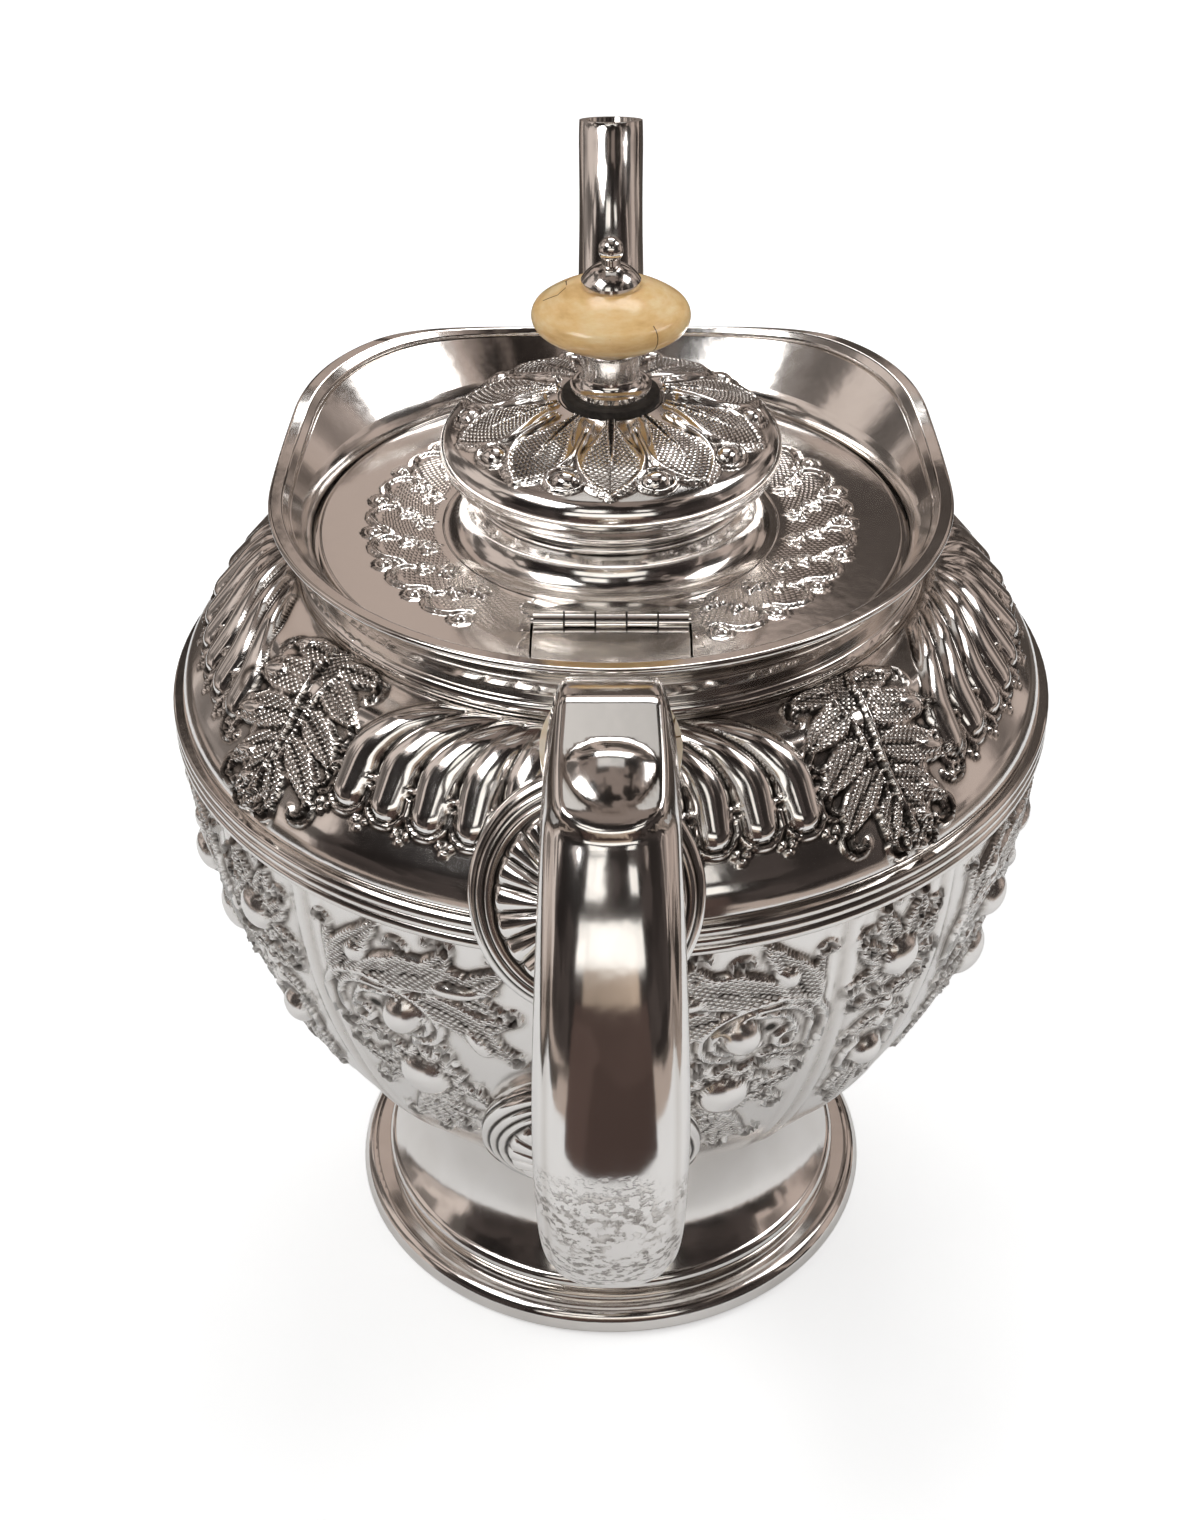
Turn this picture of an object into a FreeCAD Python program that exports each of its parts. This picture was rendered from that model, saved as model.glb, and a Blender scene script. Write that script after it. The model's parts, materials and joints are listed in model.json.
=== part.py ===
"""Footed silver teapot with a hinged lid, a swan-neck spout and a high loop handle.

Frame: millimetres, +Z up, origin at the centre of the foot's underside.
The spout points along +Y and the handle along -Y; X runs across the pot.
"""
import FreeCAD
import Part
import Sketcher

import os
import re

# Driving sizes, in millimetres and degrees
SIZES = {
    # bowl: three tangent arcs of revolution below the belt
    "wall": 1.2,
    "bowl_radius": 63.6,
    "belt_height": 99.5,
    "side_curve": 105.0,
    "side_sweep": 27.4,
    "lower_curve": 65.0,
    "lower_sweep": 53.8,
    # strainer holes behind the spout
    "strainer_hole": 1.5,
    "strainer_pitch": 5.0,
    # reeded belt round the seam of bowl and shoulder
    "belt_band": 1.2,
    "reed_half": 0.75,
    "reed_curve": 0.95,
    # shoulder: an upright, a turn, a straight slope and a crown
    "shoulder_rise": 2.0,
    "shoulder_turn": 8.0,
    "shoulder_slope": 40.0,
    "shoulder_crown": 15.0,
    "shoulder_end": 85.0,
    # chased relief: lobes on the shoulder, bosses on the bowl; its middle lies left of the handle
    "chasing_turn": 5.5,
    "lobe_pitch": 6.2,
    "lobe_width": 4.8,
    "lobe_length": 13.0,
    "lobe_proud": 0.8,
    "lobe_rise": 10.3,
    "lobe_lean": 4.0,
    "socket_clear": 19.0,
    "spray_turn": 20.8,
    "spout_clear": 22.0,
    "flower_width": 8.0,
    "flower_proud": 1.6,
    "flower_drop": 32.4,
    "eye_width": 5.2,
    "eye_proud": 1.1,
    "eye_drop": 19.7,
    "column_turn": 44.0,
    "column_width": 7.0,
    "column_proud": 1.4,
    "column_drop": 13.3,
    # flared gallery round the lid, its shaped rim and the wire at its root
    "waist_radius": 43.8,
    "gallery_lap": 1.4,
    "waist_rise": 3.2,
    "flare_curve": 4.6,
    "flare": 45.0,
    "gallery_rise": 10.33,
    "rim_bead": 1.7,
    "rim_thick": 1.9,
    "rim_round": 0.5,
    "corner_inset": 5.8,
    "corner_rise": 4.6,
    "dip_curve": 23.5,
    "dip_sweep": 40.0,
    "collar_wire": 1.1,
    # foot: a collet with a ridge, standing on a heavy wire
    "foot_inset": 1.0,
    "foot_collar": 5.93,
    "foot_sweep": 43.63,
    "ridge_height": 3.2,
    "ridge_curve": 1.7,
    "foot_spread": 5.675,
    "wire_height": 5.0,
    # lid: flange, cove, neck and cushion dome
    "lid_drop": 5.8,
    "lid_thick": 1.1,
    "lid_gap": 0.4,
    "lid_play": 0.1,
    "lid_neck": 19.2,
    "lid_neck_height": 7.3,
    "cove_curve": 4.5,
    "dome_radius": 24.1,
    "dome_rise": 2.08,
    "dome_edge": 3.2,
    "dome_curve": 54.0,
    "seat_width": 4.0,
    "seat_thick": 1.2,
    "opening_play": 5.0,
    "bezel_gap": 0.6,
    "bezel_thick": 1.0,
    "bezel_depth": 4.0,
    # finial: washer, base, knob and cap on one stud, held by a nut
    "stud_radius": 1.5,
    "stud_play": 0.05,
    "finial_seat": 7.0,
    "washer_radius": 6.8,
    "washer_thick": 0.8,
    "base_radius": 5.7,
    "base_foot": 1.3,
    "base_neck": 4.1,
    "base_cup": 5.2,
    "base_height": 7.2,
    "knob_radius": 10.2,
    "knob_seat": 4.3,
    "knob_curve": 17.0,
    "knob_edge": 3.0,
    "knob_round": 1.9,
    "cap_radius": 4.1,
    "cap_lip": 0.8,
    "cap_height": 3.0,
    "cap_neck": 1.3,
    "cap_neck_length": 0.9,
    "cap_bore": 2.0,
    "ball_radius": 1.75,
    "nut_radius": 4.0,
    "nut_thick": 2.5,
    # lid hinge: five knuckles on one pin
    "hinge_inset": 13.2,
    "hinge_rise": 0.75,
    "hinge_width": 21.0,
    "hinge_play": 0.35,
    "knuckle_radius": 1.4,
    "knuckle_gap": 0.15,
    "pin_radius": 0.55,
    "pin_play": 0.05,
    "pin_overhang": 0.25,
    "leaf_thick": 0.8,
    "leaf_curve": 26.0,
    "leaf_tail": 3.4,
    "bracket_depth": 3.6,
    "bracket_thick": 1.3,
    # handle: a loop of tangent arcs, from the upper insulator to the lower one
    "handle_stand": 9.9,
    "handle_lift": 36.5,
    "handle_rise": 50.0,
    "top_curve": 12.4,
    "handle_fall": 40.0,
    "shaft_curve": 41.0,
    "shaft_end": 132.0,
    "heel_curve": 18.0,
    "heel_end": 160.0,
    "heel_run": 9.5,
    "ferrule_width": 14.0,
    "ferrule_thick": 12.5,
    "grip_width": 17.8,
    "grip_thick": 13.0,
    "thumb_bump": 2.6,
    "handle_wall": 1.3,
    # insulators with spigots, pinned into the handle and its sockets
    "insulator_radius": 8.3,
    "insulator_thick": 5.0,
    "spigot_radius": 3.4,
    "spigot_length": 6.0,
    "rivet_radius": 0.9,
    # sockets: an arm that rises from an oval boss on the body
    "arm_curve": 37.5,
    "arm_root_drop": 6.5,
    "arm_root_thick": 10.0,
    "boss_turn": 2.9,
    "upper_boss_width": 30.5,
    "upper_boss_length": 33.0,
    "upper_boss_proud": 7.5,
    "upper_boss_lift": 5.5,
    "upper_boss_sink": 3.6,
    "upper_boss_tilt": 23.0,
    "lower_boss_width": 31.0,
    "lower_boss_length": 33.5,
    "lower_boss_proud": 5.0,
    "lower_boss_drop": 42.0,
    # spout: a tapering swan neck
    "spout_inset": 21.82,
    "spout_drop": 2.88,
    "spout_lead": 30.5,
    "spout_start": 20.0,
    "spout_bend": 38.0,
    "spout_climb": 75.0,
    "spout_neck": 39.0,
    "spout_turn": 40.0,
    "spout_tip": 50.0,
    "spout_lip": 11.0,
    "spout_mouth": 25.0,
    "spout_root_width": 28.0,
    "spout_root_depth": 31.0,
    "spout_tip_width": 11.2,
    "spout_tip_depth": 11.2,
    "spout_wall": 1.2,
}

# Values worked out from the driving sizes; "out" is a distance from the axis, "up" a height
FORMULAS = {
    # bowl arcs
    "bend_out": "bowl_radius - side_curve * (1 - cos(side_sweep))",
    "bend_up": "belt_height - side_curve * sin(side_sweep)",
    "side_centre_out": "bowl_radius - side_curve",
    "lower_centre_out": "side_centre_out + (side_curve - lower_curve) * cos(side_sweep)",
    "lower_centre_up": "belt_height - (side_curve - lower_curve) * sin(side_sweep)",
    "neck_out": "lower_centre_out + lower_curve * cos(lower_sweep)",
    "neck_up": "lower_centre_up - lower_curve * sin(lower_sweep)",
    "base_curve": "neck_out / cos(lower_sweep)",
    "base_centre_up": "neck_up + base_curve * sin(lower_sweep)",
    # shoulder
    "turn_up": "belt_height + shoulder_rise",
    "turn_centre_out": "bowl_radius - shoulder_turn",
    "slope_out": "turn_centre_out + shoulder_turn * cos(shoulder_slope)",
    "slope_up": "turn_up + shoulder_turn * sin(shoulder_slope)",
    "crown_span": "shoulder_crown * (cos(shoulder_slope) - cos(shoulder_end))",
    "slope_length": "(slope_out - crown_span - waist_radius) / sin(shoulder_slope)",
    "crown_out": "slope_out - slope_length * sin(shoulder_slope)",
    "crown_up": "slope_up + slope_length * cos(shoulder_slope)",
    "crown_centre_out": "crown_out - shoulder_crown * cos(shoulder_slope)",
    "crown_centre_up": "crown_up - shoulder_crown * sin(shoulder_slope)",
    "mouth_up": "crown_centre_up + shoulder_crown * sin(shoulder_end)",
    "mouth_under": "crown_centre_up + sqrt((shoulder_crown - wall)^2 - (waist_radius - crown_centre_out)^2)",
    # chased lobes on the shoulder's slope
    "lobe_out": "slope_out - lobe_rise * sin(shoulder_slope)",
    "lobe_up": "slope_up + lobe_rise * cos(shoulder_slope)",
    "lobe_curve": "(lobe_width^2 / 4 + lobe_proud^2) / (2 * lobe_proud)",
    # gallery
    "corner_reach": "waist_radius - corner_inset",
    "rim_height": "mouth_up + gallery_rise",
    "gallery_inner": "waist_radius - wall",
    "gallery_bottom": "mouth_under - gallery_lap",
    "flare_base": "mouth_up + waist_rise",
    "flare_centre_out": "waist_radius + flare_curve",
    "flare_out": "flare_centre_out - flare_curve * cos(flare)",
    "flare_up": "flare_base + flare_curve * sin(flare)",
    "flare_inner_out": "flare_centre_out - (flare_curve + wall) * cos(flare)",
    "flare_inner_up": "flare_base + (flare_curve + wall) * sin(flare)",
    "blank_top": "rim_height + corner_rise + rim_bead",
    "blank_out": "flare_out + (blank_top - flare_up) * tan(flare)",
    "bead_spare": "(rim_thick - wall) / 2 / cos(flare)",
    "wall_across": "wall / cos(flare)",
    "far_out": "blank_out + 2 * rim_thick",
    "corner_curve": "(corner_reach^2 + corner_rise^2) / (4 * corner_rise)",
    # foot
    "foot_waist": "neck_out - foot_inset",
    "foot_waist_height": "foot_top - foot_collar",
    "foot_curve": "(foot_waist_height - ridge_top) / sin(foot_sweep)",
    "foot_centre_out": "foot_waist + foot_curve",
    "ridge_top": "wire_height + ridge_height",
    "ridge_mid": "wire_height + ridge_height / 2",
    "ridge_out": "foot_centre_out - foot_curve * cos(foot_sweep)",
    "foot_radius": "ridge_out + foot_spread",
    "ridge_inner": "foot_centre_out - sqrt((foot_curve + wall)^2 - (foot_waist_height - ridge_top)^2)",
    "ridge_centre_out": "ridge_out - sqrt(ridge_curve^2 - (ridge_height / 2)^2)",
    "foot_top": "base_centre_up - sqrt(base_curve^2 - foot_waist^2)",
    "foot_top_inner": "base_centre_up - sqrt(base_curve^2 - (foot_waist - wall)^2)",
    # lid
    "lid_height": "rim_height - lid_drop",
    "lid_radius": "gallery_inner - lid_gap",
    "lid_under": "lid_height - lid_thick",
    "lid_bore": "lid_neck - lid_thick",
    "cove_out": "lid_neck + cove_curve",
    "cove_up": "lid_height + cove_curve",
    "neck_top": "lid_height + lid_neck_height",
    "dome_up": "neck_top + dome_rise",
    "edge_out": "dome_radius - dome_edge",
    "edge_up": "dome_up + dome_edge",
    "edge_inner": "dome_edge - lid_thick",
    "cap_reach": "dome_curve - dome_edge",
    "cap_depth": "sqrt(cap_reach^2 - edge_out^2)",
    "cap_centre_up": "edge_up - cap_depth",
    "dome_inner": "dome_curve - lid_thick",
    "seat_up": "cap_centre_up + sqrt(dome_curve^2 - finial_seat^2)",
    "nut_seat": "nut_radius + lid_thick",
    "nut_up": "cap_centre_up + sqrt(dome_inner^2 - nut_seat^2)",
    "seat_top": "lid_under - lid_play",
    "seat_inner": "gallery_inner - seat_width",
    "bezel_radius": "seat_inner - bezel_gap",
    "seat_opening": "hinge_out - opening_play",
    # finial
    "stud_hole": "stud_radius + stud_play",
    "base_low": "seat_up + washer_thick",
    "base_scotia": "base_radius - base_neck",
    "base_flare": "base_cup - base_neck",
    "knob_low": "base_low + base_height",
    "knob_sphere_low": "knob_low + sqrt(knob_curve^2 - knob_seat^2)",
    "knob_rim_low": "knob_sphere_low - sqrt(knob_curve^2 - knob_radius^2)",
    "knob_rim_top": "knob_rim_low + knob_edge",
    "knob_top": "knob_rim_top + knob_rim_low - knob_low",
    "knob_sphere_top": "knob_top - sqrt(knob_curve^2 - knob_seat^2)",
    "knob_round_out": "knob_radius - sqrt(knob_round^2 - (knob_edge / 2)^2)",
    "cap_crown": "((cap_neck^2 + cap_height^2) - (cap_radius^2 + cap_lip^2)) / (2 * (cap_height - cap_lip))",
    "cap_curve": "sqrt(cap_radius^2 + (cap_lip - cap_crown)^2)",
    "ball_low": "knob_top + cap_height + cap_neck_length",
    "ball_mid": "ball_low + sqrt(ball_radius^2 - cap_neck^2)",
    # hinge
    "hinge_out": "lid_radius - hinge_inset",
    "hinge_up": "lid_height + hinge_rise",
    "knuckle_pitch": "hinge_width / 5",
    "knuckle_length": "knuckle_pitch - knuckle_gap",
    "knuckle_clear": "knuckle_radius + hinge_play",
    "notch_half": "hinge_width / 2 + hinge_play",
    "pin_bore": "pin_radius + pin_play",
    # handle path
    "upper_out": "bowl_radius + handle_stand",
    "upper_up": "belt_height + handle_lift",
    "half_disc": "insulator_thick / 2",
    "start_out": "upper_out + half_disc * cos(handle_rise)",
    "start_up": "upper_up + half_disc * sin(handle_rise)",
    "top_out": "start_out + top_curve * sin(handle_rise)",
    "top_up": "start_up - top_curve * cos(handle_rise)",
    "shaft_out": "top_out + (top_curve - shaft_curve) * sin(handle_fall)",
    "shaft_up": "top_up + (top_curve - shaft_curve) * cos(handle_fall)",
    "heel_out": "shaft_out + (shaft_curve - heel_curve) * sin(shaft_end)",
    "heel_up": "shaft_up + (shaft_curve - heel_curve) * cos(shaft_end)",
    "run_out": "heel_out + heel_curve * sin(heel_end)",
    "run_up": "heel_up + heel_curve * cos(heel_end)",
    "end_out": "run_out + heel_run * cos(heel_end)",
    "end_up": "run_up - heel_run * sin(heel_end)",
    "lower_out": "end_out + half_disc * cos(heel_end)",
    "lower_up": "end_up - half_disc * sin(heel_end)",
    # sockets
    "upper_boss_up": "belt_height + upper_boss_lift",
    "lower_boss_up": "belt_height - lower_boss_drop",
    "arm_end_out": "upper_out - half_disc * cos(handle_rise)",
    "arm_end_up": "upper_up - half_disc * sin(handle_rise)",
    "arm_centre_out": "arm_end_out + arm_curve * sin(handle_rise)",
    "arm_centre_up": "arm_end_up - arm_curve * cos(handle_rise)",
    "arm_out": "arm_centre_out - arm_curve",
    "stem_end_out": "lower_out + half_disc * cos(heel_end)",
    "stem_end_up": "lower_up - half_disc * sin(heel_end)",
    "lower_boss_out": "side_centre_out + sqrt(side_curve^2 - lower_boss_drop^2)",
    "lower_boss_tilt": "-asin(lower_boss_drop / side_curve) / (1 deg)",
    "stem_root_out": "lower_boss_out - 4 * wall",
    "stem_root_up": "stem_end_up - (stem_end_out - stem_root_out) * tan(180 - heel_end)",
    # spout path
    "spout_root_out": "bend_out - spout_inset",
    "spout_root_up": "bend_up - spout_drop",
    "strainer_up": "spout_root_up + (bend_out - spout_root_out) * tan(spout_start)",
    "lead_out": "spout_root_out + spout_lead * cos(spout_start)",
    "lead_up": "spout_root_up + spout_lead * sin(spout_start)",
    "bend_centre_out": "lead_out - spout_bend * sin(spout_start)",
    "bend_centre_up": "lead_up + spout_bend * cos(spout_start)",
    "climb_out": "bend_centre_out + spout_bend * sin(spout_climb)",
    "climb_up": "bend_centre_up - spout_bend * cos(spout_climb)",
    "reach_out": "climb_out + spout_neck * cos(spout_climb)",
    "reach_up": "climb_up + spout_neck * sin(spout_climb)",
    "turn_spout_out": "reach_out + spout_turn * sin(spout_climb)",
    "turn_spout_up": "reach_up - spout_turn * cos(spout_climb)",
    "tip_out": "turn_spout_out - spout_turn * sin(spout_tip)",
    "tip_up": "turn_spout_up + spout_turn * cos(spout_tip)",
    "mouth_out": "tip_out + spout_lip * cos(spout_tip)",
    "mouth_lip_up": "tip_up + spout_lip * sin(spout_tip)",
}

# Middles of the four chased panels, in degrees from the middle one at the handle
PANELS = (0, 90, 180, 270)
LOBES_PER_SIDE = 5

doc = FreeCAD.newDocument("teapot")
sheet = doc.addObject("Spreadsheet::Sheet", "Sizes")
for row, (alias, number) in enumerate(SIZES.items(), start=1):
    sheet.set(f"A{row}", alias.replace("_", " "))
    sheet.set(f"B{row}", str(number))
    sheet.setAlias(f"B{row}", alias)
doc.recompute()
reader = doc.addObject("App::FeaturePython", "reader")


def bound(formula):
    """Turn a formula of size names into an expression on the sheet's cells."""
    def replace(match):
        name = match.group()
        if name in FORMULAS:
            return f"({bound(FORMULAS[name])})"
        return f"Sizes.{name}" if name in SIZES else name
    return re.sub(r"[a-z_]+", replace, formula)


def value(formula):
    """The present number of a formula."""
    return float(reader.evalExpression(bound(formula)))


def point(pair):
    """A sketch point from a pair of formulas."""
    return FreeCAD.Vector(value(pair[0]), value(pair[1]), 0)


def new_body(label):
    body = doc.addObject("PartDesign::Body", label)
    body.Label = label
    return body


def new_sketch(body, name, role):
    """A sketch on one of the body's own origin planes."""
    sketch = body.newObject("Sketcher::SketchObject", name)
    plane = [feature for feature in body.Origin.OriginFeatures if feature.Role == role][0]
    sketch.AttachmentSupport = [(plane, "")]
    sketch.MapMode = "FlatFace"
    return sketch


def bind_constraint(sketch, constraint, name, formula):
    """Add one dimension to a sketch and tie it to the sheet."""
    index = sketch.addConstraint(constraint)
    sketch.renameConstraint(index, name)
    sketch.setExpression(f"Constraints.{name}", bound(formula))


def place_corner(sketch, edge, end, pair, name):
    """Tie one corner of an outline to its two formulas."""
    across, up = pair
    if across == "0":
        sketch.addConstraint(Sketcher.Constraint("PointOnObject", edge, end, -2))
    else:
        across_rule = Sketcher.Constraint("DistanceX", -1, 1, edge, end, value(across))
        bind_constraint(sketch, across_rule, f"{name}_across", across)
    if up == "0":
        sketch.addConstraint(Sketcher.Constraint("PointOnObject", edge, end, -1))
    else:
        up_rule = Sketcher.Constraint("DistanceY", -1, 1, edge, end, value(up))
        bind_constraint(sketch, up_rule, f"{name}_up", up)


def draw_outline(sketch, start, steps):
    """Draw a closed outline: a step is (corner,) for a line, (corner, centre, radius) for an arc."""
    if steps[-1][0] != start:
        steps = steps + [(start,)]
    corners = [start] + [step[0] for step in steps]
    starts, ends = [], []
    for number, step in enumerate(steps):
        first, last = point(corners[number]), point(corners[number + 1])
        if len(step) == 1:
            sketch.addGeometry(Part.LineSegment(first, last), False)
            starts.append(1)
            ends.append(2)
            continue
        centre = point(step[1])
        towards = (first + last) * 0.5 - centre
        middle = centre + towards.normalize() * value(step[2])
        clockwise = (middle - first).cross(last - middle).z < 0
        if clockwise:
            first, last = last, first
        sketch.addGeometry(Part.Arc(first, middle, last), False)
        starts.append(2 if clockwise else 1)
        ends.append(1 if clockwise else 2)
    count = len(steps)
    joins = []
    for number in range(count):
        follower = (number + 1) % count
        joins.append(Sketcher.Constraint("Coincident", number, ends[number], follower, starts[follower]))
    sketch.addConstraint(joins)
    for number, step in enumerate(steps):
        place_corner(sketch, number, starts[number], corners[number], f"corner{number}")
        if len(step) == 3:
            radius_rule = Sketcher.Constraint("Radius", number, value(step[2]))
            bind_constraint(sketch, radius_rule, f"arc{number}_radius", step[2])


def revolve(label, start, steps):
    """A body of revolution about Z from an outline of (out, up) corners."""
    body = new_body(label)
    sketch = new_sketch(body, f"{label}_outline", "XZ_Plane")
    draw_outline(sketch, start, steps)
    turn = body.newObject("PartDesign::Revolution", f"{label}_turn")
    turn.Profile = sketch
    turn.ReferenceAxis = (sketch, ["V_Axis"])
    turn.Angle = 360
    body.Tip = turn
    return body


def cut_through(body, name, role, start, steps):
    """Cut an outline right through a body, both ways from one of its origin planes."""
    sketch = new_sketch(body, f"{name}_outline", role)
    draw_outline(sketch, start, steps)
    pocket = body.newObject("PartDesign::Pocket", name)
    pocket.Profile = sketch
    pocket.Type = "ThroughAll"
    pocket.SideType = "Symmetric"
    body.Tip = pocket
    return pocket


def bind(item, **formulas):
    """Tie properties of a primitive to the sheet."""
    for name, formula in formulas.items():
        setattr(item, name, value(formula))
        item.setExpression(name, bound(formula))
    return item


def place(item, across, along, up, axis=(1, 0, 0), turn="0"):
    """Place a primitive by formulas, turned about an axis."""
    rotation = FreeCAD.Rotation(FreeCAD.Vector(*axis), value(turn))
    item.Placement = FreeCAD.Placement(FreeCAD.Vector(value(across), value(along), value(up)), rotation)
    item.setExpression("Placement.Base.x", bound(across))
    item.setExpression("Placement.Base.y", bound(along))
    item.setExpression("Placement.Base.z", bound(up))
    if turn != "0":
        item.setExpression("Placement.Rotation.Angle", bound(turn))
    return item


def box(name, across, along, up, corner):
    """A box of three formulas, standing on its lowest corner."""
    item = bind(doc.addObject("Part::Box", name), Length=across, Width=along, Height=up)
    return place(item, *corner)


def cylinder(name, radius, length, base, axis=(1, 0, 0), turn="0"):
    """A cylinder along its own turned Z axis, from the centre of its base."""
    item = bind(doc.addObject("Part::Cylinder", name), Radius=radius, Height=length)
    return place(item, *base, axis=axis, turn=turn)


def fuse(label, pieces):
    item = doc.addObject("Part::MultiFuse", label)
    item.Label = label
    item.Shapes = pieces
    item.Refine = True
    return item


def cut(label, base, tool):
    item = doc.addObject("Part::Cut", label)
    item.Label = label
    item.Base = base
    item.Tool = tool
    return item


def common(label, base, tool):
    item = doc.addObject("Part::Common", label)
    item.Label = label
    item.Base = base
    item.Tool = tool
    return item


def group(label, pieces):
    item = doc.addObject("Part::Compound", label)
    item.Label = label
    item.Links = pieces
    return item


def turned(item, name, turn):
    """A copy of a piece, turned about the pot's axis by degrees to the right of the handle."""
    around = f"{turn} + 360" if value(turn) < 0 else turn
    return place(group(name, [item]), "0", "0", "0", axis=(0, 0, 1), turn=around)


def section(body, name, side, station, inset="0"):
    """An oval section square to a path in the YZ plane; a station is (out, up, heading, width, depth)."""
    out, up, heading, width, depth = station
    width = f"({width}) - 2 * ({inset})"
    depth = f"({depth}) - 2 * ({inset})"
    turn = f"90 - ({heading})" if side < 0 else f"270 + ({heading})"
    along = f"{side} * ({out})"
    sketch = new_sketch(body, name, "XY_Plane")
    spin = FreeCAD.Rotation(FreeCAD.Vector(1, 0, 0), value(turn))
    sketch.AttachmentOffset = FreeCAD.Placement(FreeCAD.Vector(0, value(along), value(up)), spin)
    sketch.setExpression("AttachmentOffset.Base.y", bound(along))
    sketch.setExpression("AttachmentOffset.Base.z", bound(up))
    sketch.setExpression("AttachmentOffset.Rotation.Angle", bound(turn))
    half_width, half_depth = value(width) / 2, value(depth) / 2
    wide = half_width >= half_depth
    major = FreeCAD.Vector(half_width, 0, 0) if wide else FreeCAD.Vector(0, half_depth, 0)
    minor = FreeCAD.Vector(0, half_depth, 0) if wide else FreeCAD.Vector(-half_width, 0, 0)
    sketch.addGeometry(Part.Ellipse(major, minor, FreeCAD.Vector(0, 0, 0)), False)
    sketch.exposeInternalGeometry(0)
    sketch.addConstraint(Sketcher.Constraint("Coincident", 0, 3, -1, 1))
    sketch.addConstraint(Sketcher.Constraint("Horizontal" if wide else "Vertical", 1))
    long_side, short_side = (width, depth) if wide else (depth, width)
    bind_constraint(sketch, Sketcher.Constraint("Distance", 1, value(long_side)), "long_side", long_side)
    bind_constraint(sketch, Sketcher.Constraint("Distance", 2, value(short_side)), "short_side", short_side)
    return sketch


def loft(body, kind, name, side, stations, inset="0"):
    """A loft of oval sections through stations of a path."""
    sketches = []
    for number, station in enumerate(stations):
        sketches.append(section(body, f"{name}_section{number}", side, station, inset))
    feature = body.newObject(f"PartDesign::{kind}Loft", name)
    feature.Profile = sketches[0]
    feature.Sections = sketches[1:]
    body.Tip = feature
    return feature


def on_arc(centre_out, centre_up, radius, heading):
    """Where a path that turns downwards round a centre has a heading."""
    out = f"{centre_out} - ({radius}) * sin({heading})"
    up = f"{centre_up} + ({radius}) * cos({heading})"
    return out, up


def blend(first, last, share):
    """A size part of the way from one to another."""
    return f"{first} + ({last} - {first}) * {share}"


def bowl_outline():
    """The bowl's outside from the axis up to the belt, as steps."""
    return [
        (("neck_out", "neck_up"), ("0", "base_centre_up"), "base_curve"),
        (("bend_out", "bend_up"), ("lower_centre_out", "lower_centre_up"), "lower_curve"),
        (("bowl_radius", "belt_height"), ("side_centre_out", "belt_height"), "side_curve"),
    ]


def bowl_corner(centre_out, centre_up, radius, sweep):
    """A corner on the bowl's inside, one wall in from its outside."""
    out = f"{centre_out} + ({radius} - wall) * cos({sweep})"
    up = f"{centre_up} - ({radius} - wall) * sin({sweep})"
    return out, up


def bowl_boss(kind):
    """A chased round boss on the bowl's side in the handle's plane, sunk into half of the wall."""
    out = f"side_centre_out + sqrt(side_curve^2 - {kind}_drop^2)"
    tilt = f"-asin({kind}_drop / side_curve) / (1 deg)"
    curve = f"({kind}_width^2 / 4 + {kind}_proud^2) / (2 * {kind}_proud)"
    centre = f"{curve} - {kind}_proud"
    item = doc.addObject("Part::Sphere", f"{kind}_boss")
    bind(item, Radius=curve, Angle1=f"asin(({centre} - wall / 2) / ({curve}))")
    along = f"({centre}) * cos({tilt}) - ({out})"
    up = f"belt_height - {kind}_drop - ({centre}) * sin({tilt})"
    return place(item, "0", along, up, turn=f"90 - ({tilt})")


def make_bowl_relief():
    """The bosses of the sprays and flower columns round the bowl, left out beside the spout."""
    flower, eye, column = bowl_boss("flower"), bowl_boss("eye"), bowl_boss("column")
    pieces = []
    for panel in PANELS:
        for side in (-1, 1):
            name = f"{panel}_{'left' if side < 0 else 'right'}"
            spray = f"{panel} + {side} * spray_turn - chasing_turn"
            if abs(value(spray) - 180) > value("spout_clear"):
                pieces.append(turned(flower, f"flower_{name}", spray))
                pieces.append(turned(eye, f"eye_{name}", spray))
        beside = f"{panel} + column_turn - chasing_turn"
        pieces.append(turned(column, f"column_{panel}", beside))
    return pieces


def make_shoulder_relief():
    """The lobes round the shoulder, in four groups, left out at the upper socket."""
    top, low = "(lobe_length - lobe_width) / 2", "(lobe_width - lobe_length) / 2"
    steps = [
        (("lobe_curve", low), ("0", low), "lobe_curve"),
        (("lobe_curve", top),),
        (("0", f"{top} + lobe_curve"), ("0", top), "lobe_curve"),
    ]
    lobe = revolve("lobe", ("0", f"{low} - lobe_curve"), steps)
    tilt, deep = "(shoulder_slope + lobe_lean)", "(lobe_curve - lobe_proud)"
    along, up = f"{deep} * cos({tilt}) - lobe_out", f"lobe_up - {deep} * sin({tilt})"
    place(lobe, "0", along, up, turn=f"360 - {tilt}")
    pieces = []
    for panel in PANELS:
        for step in range(-LOBES_PER_SIDE, LOBES_PER_SIDE + 1):
            turn = f"{panel} + {step} * lobe_pitch - chasing_turn"
            if abs(value(f"{turn} + boss_turn")) > value("socket_clear"):
                pieces.append(turned(lobe, f"lobe_{panel}_{step + LOBES_PER_SIDE}", turn))
    return pieces


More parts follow.
